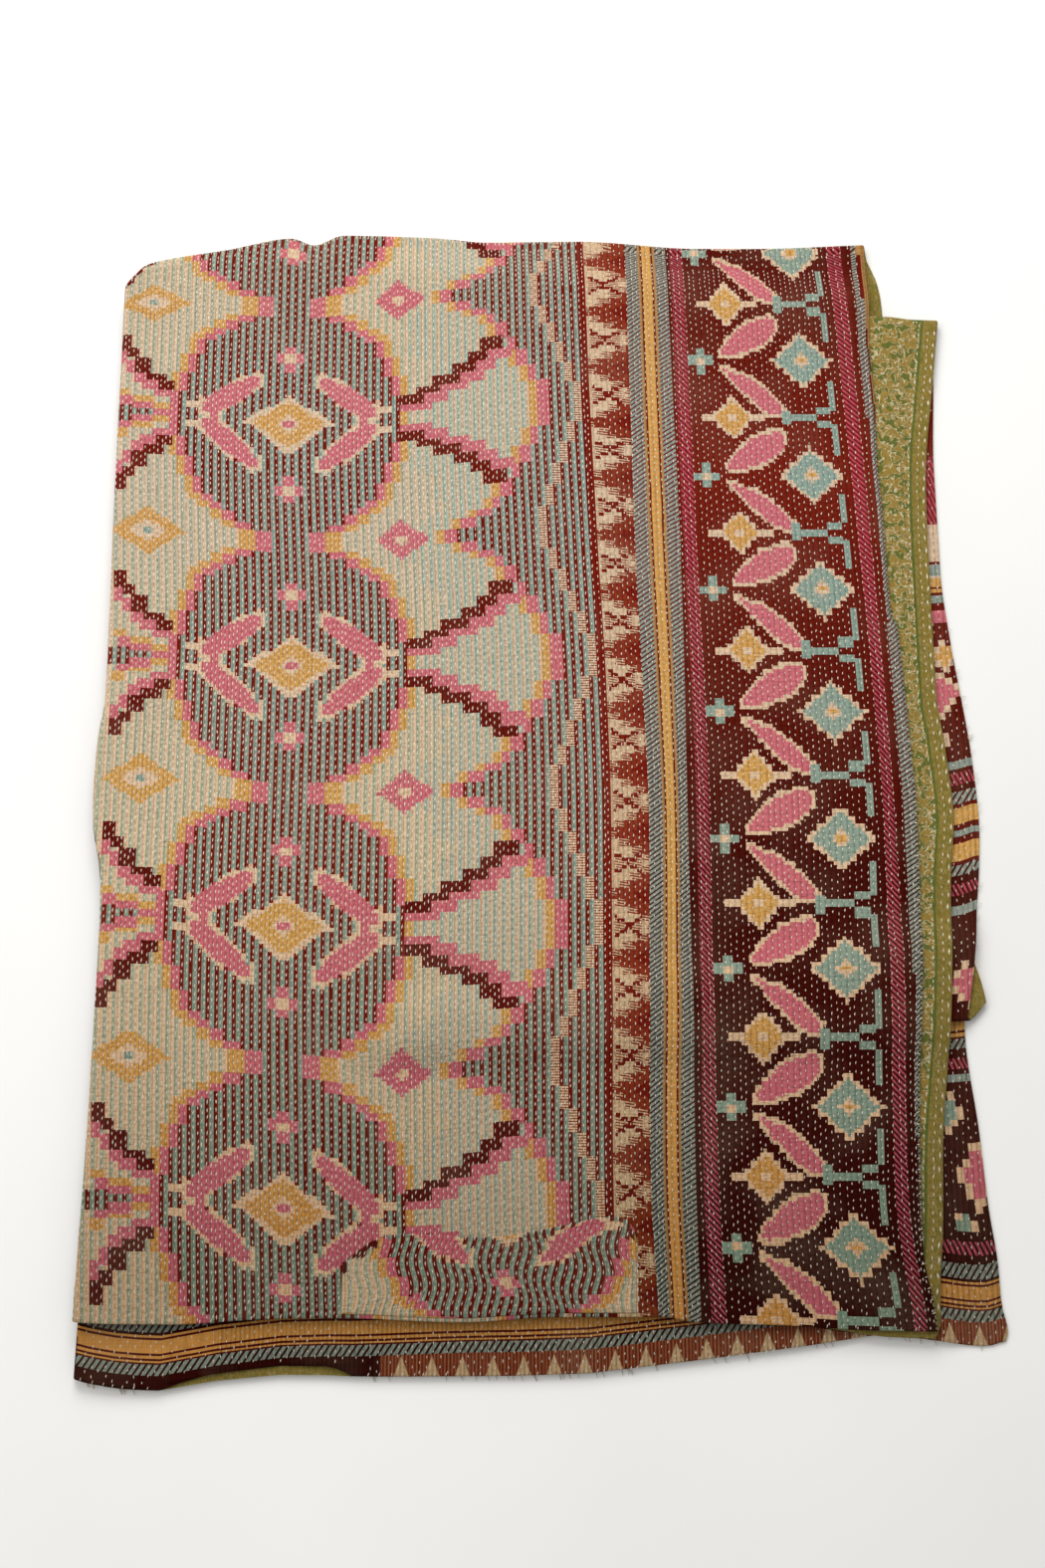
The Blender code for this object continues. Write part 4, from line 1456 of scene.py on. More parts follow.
@dataclass
class FrontCloth:
    """The dyed and patterned cloth, which wraps the whole folded quilt."""

    row_pitch: float = STITCH_PITCH / 2
    border_pitch: float = 3.0
    fold_steps: int = 12
    # The lower layers keep every sixth column, and all those round the side fold's underside
    every: int = 6
    rolled: tuple[float, float] = (-184.0, -155.0)
    columns: Columns = field(init=False)
    rows: list[Row] = field(init=False)
    laid: tuple[Array, Array] = field(init=False)

    def __post_init__(self) -> None:
        """Lays the upper layers, which the stitches are sewn on as well."""
        self.columns = Columns(FAR_COARSE, cloth_columns(self.border_pitch))
        self.rows = top_rows(self.row_pitch, self.fold_steps)
        self.laid = lay(self.columns, self.rows)

    def build(self, material: Material) -> Piece:
        """Cuts and dyes the cloth on its folds.

        Args:
            material: the cloth's finish.

        Returns:
            The piece.
        """
        surface = Surface()
        self.add_part(surface, self.laid, self.columns, self.rows, (True, True, True, False))
        cloth = self.columns.cloth
        rolled = np.flatnonzero((cloth > self.rolled[0]) & (cloth < self.rolled[1]))
        kept = np.unique([*range(0, len(cloth), self.every), *rolled, len(cloth) - 1])
        columns = Columns(FAR_FINE, cloth[kept])
        rows = [self.rows[-1]] + under_rows(banded_levels(), 6)
        laid = lay(columns, rows)
        self.wear_hem(laid[0])
        self.add_part(surface, laid, columns, rows, (True, True, False, True))
        return add_piece("quilt_front", surface.mesh("quilt_front"), material)

    def add_part(
        self, surface: Surface, laid: tuple[Array, Array], columns: Columns, rows: list[Row],
        ends: tuple[bool, bool, bool, bool],
    ) -> None:
        """Adds one grid of the cloth with its dyes and maps.

        Args:
            surface: where the grid goes.
            laid: the middle of the ply, and each point's share.
            columns: the grid's columns.
            rows: its rows.
            ends: which of its ends curl.
        """
        middle, shares = laid
        surface.add(curled(middle, HALF_PLY, ends))
        wider = np.multiply(ends, CURL_STEPS).reshape(2, 2)
        x, y, share = (np.pad(part, wider, "edge") for part in (middle[:, :, 0], middle[:, :, 1], shares))
        place = np.pad(np.concatenate([FAR_START - FAR_RUN * columns.far, columns.cloth]), wider[0], "edge")
        along = np.pad(np.array([row.along for row in rows]), wider[1], "edge")
        is_far = share < 0.5
        u = np.where(is_far, x, place[:, None])
        v = np.where(is_far, y / 2, along[None, :])
        surface.maps.append(np.stack([u, v, x, y - UNDER_BOTTOM(x)], axis=2).reshape(-1, 4))

        def centre(values: Array) -> Array:
            """The mean of each face's corners."""
            return (values[1:, 1:] + values[:-1, 1:] + values[1:, :-1] + values[:-1, :-1]) / 4

        level = np.pad(np.array([level_of(row.line) for row in rows]), wider[1], "edge")
        level = centre(np.broadcast_to(level, x.shape))
        wide = np.broadcast_to(place[:, None], x.shape)
        face_x, face_y, face_u, face_v = centre(x), centre(y), centre(wide), centre(np.broadcast_to(along, x.shape))
        chart = Chart(face_x.shape)
        near = centre(share) > 0.5
        in_field = near & (face_u < FIELD_END)
        FieldPattern(chart, np.round(face_u / HALF_STRIPE), face_v, in_field).paint()
        border = np.where(near & (face_u >= FIELD_END), face_u, -1.0)
        along_border = np.where(face_v > TOP_END, face_v, face_y)
        BorderPattern(chart, border, along_border, face_x - OUTER_PINK_RIGHT(face_y)).paint()
        under = np.pad(np.array([row.half < 0 for row in rows]), wider[1], "edge")
        first_past = next((k for k, row in enumerate(rows) if row.far_hem is TUCK_RETURN_HEM), len(rows))
        turned = np.pad(np.arange(len(rows)) > first_past + 1, wider[1], "edge")
        below = ~near & (under[1:] & under[:-1])[None, :]
        StripPattern().paint(chart, face_x, level, turned[1:][None, :] & below, below)
        chart.paint(~near & ~below, GROUND)
        if columns is not self.columns:
            self.stripe_coarsely(chart, in_field)
        # The dyes take painted shade by their place along the quilt, deepest at the near hem and a little at the top
        # fold
        surface.dyes.append(chart.values(np.interp(face_y, *PAINTED_SHADE_ALONG)))

    def stripe_coarsely(self, chart: Chart, within: Array) -> None:
        """Leaves the stripes to the finish, where a face is wider than one of them.

        Args:
            chart: the chart to dye.
            within: the faces of the field.
        """
        dyes = list(Dye)
        for one, other in ((MAROON, TEAL), (IVORY, PALE), (CREAM, SAGE)):
            pair = (dyes.index(one), dyes.index(other))
            chart.paint(within & np.isin(chart.first, pair), one, other, Weave.STRIPES)

    def wear_hem(self, grid: Array) -> None:
        """Draws the hem back where it is worn away.

        Args:
            grid: the lower layers' points, which it moves.
        """
        x = grid[:, -1, 0]
        within = np.minimum(x - WORN_HEM_START, WORN_HEM_END - x)
        bared = smooth(within / WORN_HEM_TAPER)
        bared[len(FAR_FINE) + 3:] = 0.0
        back = grid[:, -4] - grid[:, -1]
        length = np.linalg.norm(back, axis=1, keepdims=True)
        back /= length
        for k in range(-4, 0):
            gone = np.linalg.norm(grid[:, k] - grid[:, -4], axis=1) / length[:, 0]
            grid[:, k] += back * (WORN_HEM_DEPTH * bared * gone)[:, None]


# Places across the cloth, and the count of stitch rows there
ROW_PLACES = (-300.0, FIELD_END, TEMPLE_END, GROUND_START, GROUND_END, HEM_PLACE)
ROW_COUNTS = (-300.0 / HALF_STRIPE, 74.0, 82.0, 93.0, 122.0, 127.0)


def add(tree: Tree, kind: str, feeds: dict | tuple = (), out: int | str = 0, **settings: object) -> Socket:
    """Adds a node with its settings and links.

    Args:
        tree: the node tree.
        kind: the node's type, a ShaderNode where it names no family, and its operation after a space.
        feeds: what goes into its inputs, by name or in order: sockets or values.
        out: which output is wanted.
        **settings: the node's own settings.

    Returns:
        The output.
    """
    kind, *operations = kind.split()
    made = tree.nodes.new(kind if "Node" in kind else "ShaderNode" + kind)
    for operation in operations:
        made.operation = operation
    for name, value in settings.items():
        setattr(made, name, value)
    for name, value in (feeds if isinstance(feeds, dict) else dict(enumerate(feeds))).items():
        if isinstance(value, Socket):
            tree.links.new(value, made.inputs[name])
        else:
            made.inputs[name].default_value = value
    return made.outputs[out]


def bare_finish(name: str, roughness: float, specular: float, sheen: float) -> tuple[Material, Tree, dict]:
    """Starts a finish with what is the same all over it.

    Args:
        name: the material's name.
        roughness: the shader's roughness.
        specular: its specular level.
        sheen: its sheen, the light that the fibres' ends catch.

    Returns:
        The material, its node tree and the shader's inputs.
    """
    material = bpy.data.materials.new(name)
    material.use_nodes = True
    inputs = material.node_tree.nodes["Principled BSDF"].inputs
    for socket, value in (("Roughness", roughness), ("Specular IOR Level", specular), ("Sheen Weight", sheen)):
        inputs[socket].default_value = value
    return material, material.node_tree, inputs


@dataclass(frozen=True)
class DyedCotton:
    """Hand-quilted woven cotton, yarn-dyed: matt threads of uneven dye, puffed between its stitches.

    To the eye it is chalky and dry, with no shine but a faint bloom on the ribs. The weave is drawn about
    four times coarser than its 0.4 mm threads, so that it shows. Sizes are in millimetres.
    """

    name: str = "dyed quilted cotton"
    # Across and along the cloth from one line to the next
    twill: tuple[float, float] = (5.0, 5.5)
    strokes: tuple[float, float] = (-6.0, 4.6)
    comb_pitch: float = 2.5
    # The teeth at the hem, where their tips fade out, and the fine hatching between them
    tooth_pitch: float = 27.0
    tooth_steepness: float = 0.07
    tooth_tips: tuple[float, float] = (18.5, 16.5)
    hatch_pitch: float = 3.1
    hatch_depth: float = 0.3
    # Across a streak of uneven thread, along it, and the weave
    streak: tuple[float, float] = (1.6, 6.0)
    weave_pitch: float = 1.7
    puff: float = 2.4

    def make(self) -> Material:
        """Builds the finish."""
        material, tree, inputs = bare_finish(self.name, 0.95, 0.04, 0.02)
        dye = add(tree, "Attribute", (), "Color", attribute_name="dye")
        second = add(tree, "Attribute", (), "Color", attribute_name="second_dye")
        weave = add(tree, "Attribute", (), "Fac", attribute_name="weave")
        thread = add(tree, "UVMap", (), uv_map="thread")
        hem = add(tree, "UVMap", (), uv_map="hem")
        mask = self.mixing(tree, weave, thread, hem)
        colour = add(tree, "Mix", {0: mask, 6: dye, 7: second}, 2, data_type="RGBA")
        colour = self.fading(tree, colour, thread)
        tree.links.new(colour, inputs["Base Color"])
        tree.links.new(self.relief(tree, thread), inputs["Normal"])
        inputs["Sheen Tint"].default_value = linear("#d8b090")
        return material

    def mixing(self, tree: Tree, weave: Socket, thread: Socket, hem: Socket) -> Socket:
        """Draws twill lines, strokes, combs, ticks, teeth and stripes.

        Args:
            tree: the node tree.
            weave: how the dyes are mixed.
            thread: the map along the threads.
            hem: the map from the bottom hem.

        Returns:
            How much of the second dye shows.
        """

        def wave(across: float, along: float, threshold: float) -> Socket:
            """Draws even lines.

            Args:
                across: how many lines cross a millimetre across.
                along: the same along the threads.
                threshold: how thin they are.

            Returns:
                Where the lines are.
            """
            turns = (2000 * math.pi * across, 2000 * math.pi * along, 0.0)
            phase = add(tree, "VectorMath DOT_PRODUCT", (thread, turns), "Value")
            ripple = add(tree, "Math SINE", (phase,))
            return add(tree, "MapRange", (ripple, threshold - 0.25, threshold + 0.25, 0.0, 1.0))

        place = add(tree, "SeparateXYZ", (hem,))
        above = add(tree, "SeparateXYZ", (hem,), 1)
        turn = add(tree, "Math MULTIPLY", (place, 1000 / self.tooth_pitch))
        turn = add(tree, "Math FRACT", (turn,))
        off = add(tree, "Math SUBTRACT", (turn, 0.5))
        off = add(tree, "Math ABSOLUTE", (off,))
        slope = add(tree, "Math MULTIPLY_ADD", (off, self.tooth_steepness, above))
        teeth = add(tree, "MapRange", (slope, self.tooth_tips[0] * MM, self.tooth_tips[1] * MM, 0.0, 1.0))
        hatch = add(tree, "Math MULTIPLY", (wave(1 / self.hatch_pitch, 0.0, 0.55), self.hatch_depth))
        teeth = add(tree, "Math MAXIMUM", (teeth, hatch))
        made = 0.0
        for kind, lines in (
            (Weave.TWILL, wave(1 / self.twill[0], 1 / self.twill[1], -0.05)),
            (Weave.STROKES, wave(1 / self.strokes[0], 1 / self.strokes[1], 0.33)),
            (Weave.COMB, wave(0.06, 1 / self.comb_pitch, 0.2)), (Weave.TICKS, wave(0.0, 1 / self.comb_pitch, 0.45)),
            (Weave.TEETH, teeth), (Weave.STRIPES, wave(0.5 / HALF_STRIPE, 0.0, 0.0)),
        ):
            here = add(tree, "Math COMPARE", (weave, kind.value, 0.1))
            made = add(tree, "Math MULTIPLY_ADD", (here, lines, made))
        return made

    def fading(self, tree: Tree, colour: Socket, thread: Socket) -> Socket:
        """Adds streaks of uneven thread and a slow fading from wash and wear.

        Args:
            tree: the node tree.
            colour: the dyes' colour.
            thread: the map along the threads.

        Returns:
            The faded colour.
        """
        fine = add(tree, "VectorMath MULTIPLY", (thread, (1000 / self.streak[0], 1000 / self.streak[1], 1.0)))
        streaks = add(tree, "TexNoise", {"Vector": fine, "Scale": 1.0, "Detail": 2.0})
        lights = add(tree, "MapRange", (streaks, 0.3, 0.7, 0.87, 1.12))
        colour = add(tree, "VectorMath SCALE", {0: colour, "Scale": lights})
        washed = add(tree, "TexNoise", {"Vector": thread, "Scale": 14.0, "Detail": 3.0})
        worn = add(tree, "MapRange", (washed, 0.45, 0.75, 0.0, 0.07))
        return add(tree, "Mix", {0: worn, 6: colour, 7: linear("#b7a184")}, 2, data_type="RGBA")

    def relief(self, tree: Tree, thread: Socket) -> Socket:
        """Raises the puff between rows of stitches, the small puckers along them, and the weave.

        Args:
            tree: the node tree.
            thread: the map along the threads.

        Returns:
            The shader's normal.
        """
        quilting = add(tree, "UVMap", (), uv_map="quilting")
        across = add(tree, "SeparateXYZ", (quilting,))
        phase = add(tree, "Math MULTIPLY", (across, math.pi))
        puff = add(tree, "Math ABSOLUTE", (add(tree, "Math SINE", (phase,)),))
        stretched = add(tree, "VectorMath MULTIPLY", (quilting, (0.55, 2.3, 1.0)))
        pucker = add(tree, "TexNoise", {"Vector": stretched, "Scale": 1.0, "Detail": 2.0})
        weave = add(tree, "TexNoise", {"Vector": thread, "Scale": 1000 / self.weave_pitch, "Detail": 1.0})
        height = add(tree, "Math MULTIPLY_ADD", (puff, 0.55, pucker))
        height = add(tree, "Math MULTIPLY_ADD", (weave, 0.12, height))
        return add(tree, "Bump", {"Strength": 1.0, "Distance": self.puff * MM, "Height": height})


@dataclass
class Quilting:
    """The running stitches that hold the cloths together, on what they are sewn through.

    Each is a short pale thread that comes out of the cloth, lies on it and goes in again. Sizes are in
    millimetres, and each stitch is between least and most of them along, across and up.
    """

    length: float = 4.3
    width: float = 1.08
    height: float = 0.7
    seed: int = 7
    least: tuple[float, float, float] = (0.8, 0.8, 0.8)
    most: tuple[float, float, float] = (1.22, 1.15, 1.2)

    def tree(self) -> Tree:
        """Builds the Geometry Nodes that lay one stitch at each point of a guide."""
        tree = bpy.data.node_groups.new("running stitches", "GeometryNodeTree")
        face = tree.interface
        face.new_socket("Geometry", in_out="INPUT", socket_type="NodeSocketGeometry")
        for name in ("Length", "Width", "Height"):
            face.new_socket(name, in_out="INPUT", socket_type="NodeSocketFloat")
        face.new_socket("Seed", in_out="INPUT", socket_type="NodeSocketInt")
        face.new_socket("Thread", in_out="INPUT", socket_type="NodeSocketMaterial")
        face.new_socket("Geometry", in_out="OUTPUT", socket_type="NodeSocketGeometry")
        given = tree.nodes.new("NodeGroupInput").outputs
        grid = add(
            tree, "GeometryNodeMeshGrid", {"Size X": given["Length"], "Size Y": given["Width"], "Vertices X": 3,
                                           "Vertices Y": 3}
        )
        x = add(tree, "SeparateXYZ", (add(tree, "GeometryNodeInputPosition"),))
        y = x.node.outputs[1]
        along = add(tree, "Math DIVIDE", (x, given["Length"]))
        aside = add(tree, "Math DIVIDE", (y, given["Width"]))
        along = add(tree, "Math MULTIPLY", (along, along))
        aside = add(tree, "Math MULTIPLY", (aside, aside))
        both = add(tree, "Math ADD", (along, aside))
        # An arch: highest in the middle, just under the cloth at the ends, and narrower there
        drop = add(tree, "Math MULTIPLY_ADD", (both, -4.2, 1.0))
        rise = add(tree, "Math MULTIPLY", (drop, given["Height"]))
        narrow = add(tree, "Math MULTIPLY_ADD", (along, -1.5, 1.0))
        side = add(tree, "Math MULTIPLY", (y, narrow))
        shaped = add(tree, "CombineXYZ", (x, side, rise))
        stitch = add(tree, "GeometryNodeSetPosition", {"Geometry": grid, "Position": shaped})
        smooth_stitch = add(tree, "GeometryNodeSetShadeSmooth", {"Geometry": stitch})
        up, run = (
            add(tree, "GeometryNodeInputNamedAttribute", {"Name": name}, "Attribute", data_type="FLOAT_VECTOR")
            for name in ("up", "along")
        )
        turned = add(
            tree, "FunctionNodeAxesToRotation", {"Primary Axis": up, "Secondary Axis": run},
            primary_axis="Z", secondary_axis="X",
        )
        size = add(
            tree, "FunctionNodeRandomValue", {0: self.least, 1: self.most, "Seed": given["Seed"]},
            data_type="FLOAT_VECTOR",
        )
        laid = add(
            tree, "GeometryNodeInstanceOnPoints",
            {"Points": given["Geometry"], "Instance": smooth_stitch, "Rotation": turned, "Scale": size},
        )
        made = add(tree, "GeometryNodeRealizeInstances", {"Geometry": laid})
        made = add(tree, "GeometryNodeSetMaterial", {"Geometry": made, "Material": given["Thread"]})
        tree.links.new(made, tree.nodes.new("NodeGroupOutput").inputs[0])
        return tree

    def sew(self, name: str, stitches: Stitches, thread: Material) -> Piece:
        """Lays the stitches.

        Args:
            name: the piece's name.
            stitches: where they lie, in millimetres.
            thread: the thread's finish.

        Returns:
            The piece.
        """
        places, along, up = stitches
        guide = bpy.data.meshes.new(name)
        guide.from_pydata(((places - CENTRE) * MM).tolist(), [], [])
        add_values(guide, "along", "FLOAT_VECTOR", "POINT", along)
        add_values(guide, "up", "FLOAT_VECTOR", "POINT", up)
        carrier = placed(name, guide)
        modifier = carrier.modifiers.new("stitches", "NODES")
        modifier.node_group = self.tree()
        values = {
            "Length": self.length * MM, "Width": self.width * MM, "Height": self.height * MM, "Seed": self.seed,
            "Thread": thread,
        }
        for item in modifier.node_group.interface.items_tree:
            if item.in_out == "INPUT" and item.name in values:
                modifier[item.identifier] = values[item.name]
        graph = bpy.context.evaluated_depsgraph_get()
        mesh = bpy.data.meshes.new_from_object(carrier.evaluated_get(graph))
        bpy.data.objects.remove(carrier)
        return add_piece(name, mesh, thread)


def on_grid(grid: Array, column: Array, row: Array) -> Array:
    """Finds points between a grid's columns and rows.

    Args:
        grid: the grid's points.
        column: places across it, counted in columns.
        row: places along it, counted in rows.

    Returns:
        The point at each place.
    """
    i = np.clip(column.astype(int), 0, grid.shape[0] - 2)
    j = np.clip(row.astype(int), 0, grid.shape[1] - 2)
    s, t = (column - i)[:, None], (row - j)[:, None]
    lower = blend(grid[i, j], grid[i + 1, j], s)
    upper = blend(grid[i, j + 1], grid[i + 1, j + 1], s)
    return blend(lower, upper, t)


def under_patch(points: Array) -> Array:
    """Which points the sewn patch covers."""
    x, y = points[:, 0], points[:, 1]
    return (x > -176) & (x < 89) & (y < PATCH_TOP(x) + 1)


# How unevenly the hand sews, in shares of the stitch pitch and of the rows' spacing
ROW_START_SPREAD = 0.12
STEP_SPREAD = 0.07
ROW_SPREAD = 0.06
MISSED_SHARE = 0.012
# Under this share of their spacing, rows round the top fold are squeezed and every second stitch is left out
SQUEEZED_SHARE = 0.55


def running_rows(front: FrontCloth, first: float, last: float, seed: int) -> Stitches:
    """Where the stitches of the near half's face lie.

    Args:
        front: the cloth they are sewn on.
        first: the first row of stitches, counted as in the quilting map.
        last: the row that ends them.
        seed: the seed of the hand's unevenness.

    Returns:
        The stitches.
    """
    random = np.random.default_rng(seed)
    numbers = np.arange(math.ceil(first), math.ceil(last)).astype(float)
    steps = np.arange(TOP_START / STITCH_PITCH, (TOP_END + 6) / STITCH_PITCH)
    start = 0.5 * (numbers % 2) + random.normal(0, ROW_START_SPREAD, len(numbers))
    slow = ROW_START_SPREAD * np.sin(steps[None, :] / 9 + random.uniform(0, 6, len(numbers))[:, None])
    row, step = np.meshgrid(numbers, steps, indexing="ij")
    step = step + start[:, None] + random.normal(0, STEP_SPREAD, row.shape)
    row = row + slow + random.normal(0, ROW_SPREAD, row.shape)
    kept = random.uniform(0, 1, row.shape) > MISSED_SHARE
    row, step = row[kept], step[kept]
    along = step * STITCH_PITCH
    cloth = np.interp(row, ROW_COUNTS, ROW_PLACES)
    places = front.columns.cloth
    column = len(FAR_COARSE) + np.interp(cloth, places, np.arange(len(places)))
    place = np.interp(along, [r.along for r in front.rows], np.arange(len(front.rows)))
    faces = facing(front.laid[0])
    outer = front.laid[0] + faces * (HALF_PLY + THREAD_LIFT)
    points = on_grid(outer, column, place)
    ahead = on_grid(outer, column, place + 0.4) - on_grid(outer, column, place - 0.4)
    length = np.linalg.norm(ahead, axis=1, keepdims=True)
    ahead /= length
    spare = (length[:, 0] < SQUEEZED_SHARE * front.row_pitch) & (np.round(step) % 2 == 1)
    up = on_grid(faces, column, place)
    ahead = ahead + np.cross(up, ahead) * random.normal(-0.05, 0.09, len(up))[:, None]
    seen = (up[:, 2] > 0.1) & ~under_patch(points) & (along > TOP_START + 2.5) & ~spare
    return points[seen], ahead[seen], up[seen]


def painted_shade_toward_hem(tree: Tree, colour: Socket, low: float) -> Socket:
    """Darkens a colour toward the near hem with painted shade.

    Args:
        tree: the node tree.
        colour: the colour.
        low: how much of its light is left at the near hem.

    Returns:
        The darkened colour.
    """
    along = add(tree, "SeparateXYZ", (add(tree, "TexCoord", (), "Object"),), 1)
    light = add(tree, "MapRange", (along, -0.5, -0.06, low, 1.0))
    return add(tree, "VectorMath SCALE", {0: colour, "Scale": light})


@dataclass(frozen=True)
class CottonThread:
    """Undyed twisted cotton thread of uneven tone, with painted shade toward the near hem: soft pale dashes that
    stand off the cloth.
    """

    name: str = "cream cotton thread"
    colour: str = "#f3e8d6"

    def make(self) -> Material:
        """Builds the finish."""
        material, tree, inputs = bare_finish(self.name, 0.8, 0.5, 0.2)
        place = add(tree, "TexCoord", (), "Object")
        uneven = add(tree, "TexNoise", {"Vector": place, "Scale": 150.0, "Detail": 2.0})
        share = add(tree, "MapRange", (uneven, 0.35, 0.7, 0.0, 0.55))
        colour = add(tree, "Mix", {0: share, 6: linear(self.colour), 7: linear("#cdb190")}, 2, data_type="RGBA")
        twist = add(tree, "TexNoise", {"Vector": place, "Scale": 1600.0, "Detail": 1.0})
        bump = add(tree, "Bump", {"Strength": 0.4, "Distance": 0.0003, "Height": twist})
        # Painted shade darkens the thread toward the near hem
        tree.links.new(painted_shade_toward_hem(tree, colour, 0.64), inputs["Base Color"])
        tree.links.new(bump, inputs["Normal"])
        return material


@dataclass(frozen=True)
class PrintedCotton:
    """Olive backing cotton, block-printed with scrolls and leaves inside a plain band with a green line.

    To the eye it is smoother than the dyed cloth, and busy with small pale and green marks.
    """

    name: str = "printed olive cotton"
    ground: str = "#947a36"
    band: str = "#83702a"
    scroll: str = "#c9bd98"
    leaf: str = "#5a6426"
    band_width: float = 15.0
    line_width: float = 2.4
    row_spacing: float = 5.6

    def make(self) -> Material:
        """Builds the finish."""
        material, tree, inputs = bare_finish(self.name, 0.9, 0.2, 0.12)
        thread = add(tree, "UVMap", (), uv_map="thread")
        hem = add(tree, "SeparateXYZ", (add(tree, "UVMap", (), uv_map="hem"),))
        leaves = add(tree, "TexNoise", {"Vector": thread, "Scale": 150.0, "Detail": 1.0, "Distortion": 0.6})
        leafy = add(tree, "MapRange", (leaves, 0.52, 0.56, 0.0, 0.9))
        colour = add(tree, "Mix", {0: leafy, 6: linear(self.ground), 7: linear(self.leaf)}, 2, data_type="RGBA")
        scrolls = add(tree, "TexNoise", {"Vector": thread, "Scale": 150.0, "Detail": 0.5, "Distortion": 1.2})
        off = add(tree, "Math SUBTRACT", (scrolls, 0.5))
        off = add(tree, "Math ABSOLUTE", (off,))
        lines = add(tree, "MapRange", (off, 0.02, 0.042, 0.9, 0.0))
        breaks = add(tree, "TexNoise", {"Vector": thread, "Scale": 210.0, "Detail": 1.0})
        kept = add(tree, "MapRange", (breaks, 0.36, 0.46, 0.0, 1.0))
        lines = add(tree, "Math MULTIPLY", (lines, kept))
        colour = add(tree, "Mix", {0: lines, 6: colour, 7: linear(self.scroll)}, 2, data_type="RGBA")
        width = self.band_width * MM
        plain = add(tree, "MapRange", (hem, width, width + 0.0012, 0.78, 0.0))
        colour = add(tree, "Mix", {0: plain, 6: colour, 7: linear(self.band)}, 2, data_type="RGBA")
        beside = add(tree, "Math COMPARE", (hem, width + 0.001, self.line_width * MM / 2))
        colour = add(tree, "Mix", {0: beside, 6: colour, 7: linear(self.leaf)}, 2, data_type="RGBA")
        fine = add(tree, "VectorMath MULTIPLY", (thread, (700.0, 160.0, 1.0)))
        streaks = add(tree, "TexNoise", {"Vector": fine, "Scale": 1.0, "Detail": 2.0})
        lights = add(tree, "MapRange", (streaks, 0.3, 0.7, 0.75, 1.15))
        colour = add(tree, "VectorMath SCALE", {0: colour, "Scale": lights})
        # Painted shade darkens the print toward the near hem
        tree.links.new(painted_shade_toward_hem(tree, colour, 0.72), inputs["Base Color"])
        rows = add(tree, "VectorMath DOT_PRODUCT", (thread, (1000 * math.pi / self.row_spacing, 0.0, 0.0)), "Value")
        puff = add(tree, "Math ABSOLUTE", (add(tree, "Math SINE", (rows,)),))
        pucker = add(tree, "TexNoise", {"Vector": thread, "Scale": 190.0, "Detail": 2.0})
        height = add(tree, "Math MULTIPLY_ADD", (puff, 0.35, pucker))
        bump = add(tree, "Bump", {"Strength": 0.75, "Distance": 0.0013, "Height": height})
        tree.links.new(bump, inputs["Normal"])
        return material


@dataclass
class BackCloth:
    """The printed backing, on the other side of the same ply."""

    row_pitch: float = 12.0

    def build(self, material: Material) -> Piece:
        """Cuts the backing on its folds.

        Args:
            material: the backing's finish.

        Returns:
            The piece.
        """
        cloth = cloth_columns(9.0)[::2]
        cloth[-1] = HEM_PLACE
        rows = top_rows(self.row_pitch, 12) + under_rows(filled([470.0, -537.0], self.row_pitch), 6)
        grid, shares = lay(Columns(FAR_FINE, cloth), rows)
        bottom = np.where(
            np.array([row.half > 0 for row in rows])[None, :], near_bottom(grid[:, :, 0], shares),
            under_bottom(grid[:, :, 0], shares),
        )
        side = np.abs(np.where(shares < 0.5, grid[:1, :, 0], grid[-1:, :, 0]) - grid[:, :, 0])
        inside = np.minimum(side, grid[:, :, 1] - bottom)
        maps = np.stack([grid[:, :, 0], grid[:, :, 1], inside, grid[:, :, 1]], axis=2)
        surface = Surface()
        surface.maps.append(np.pad(maps, (*ALL_CURLED, (0, 0)), "edge").reshape(-1, 4))
        surface.add(curled(grid, -HALF_PLY, (True, True, True, True)))
        return add_piece("quilt_backing", surface.mesh("quilt_backing"), material)


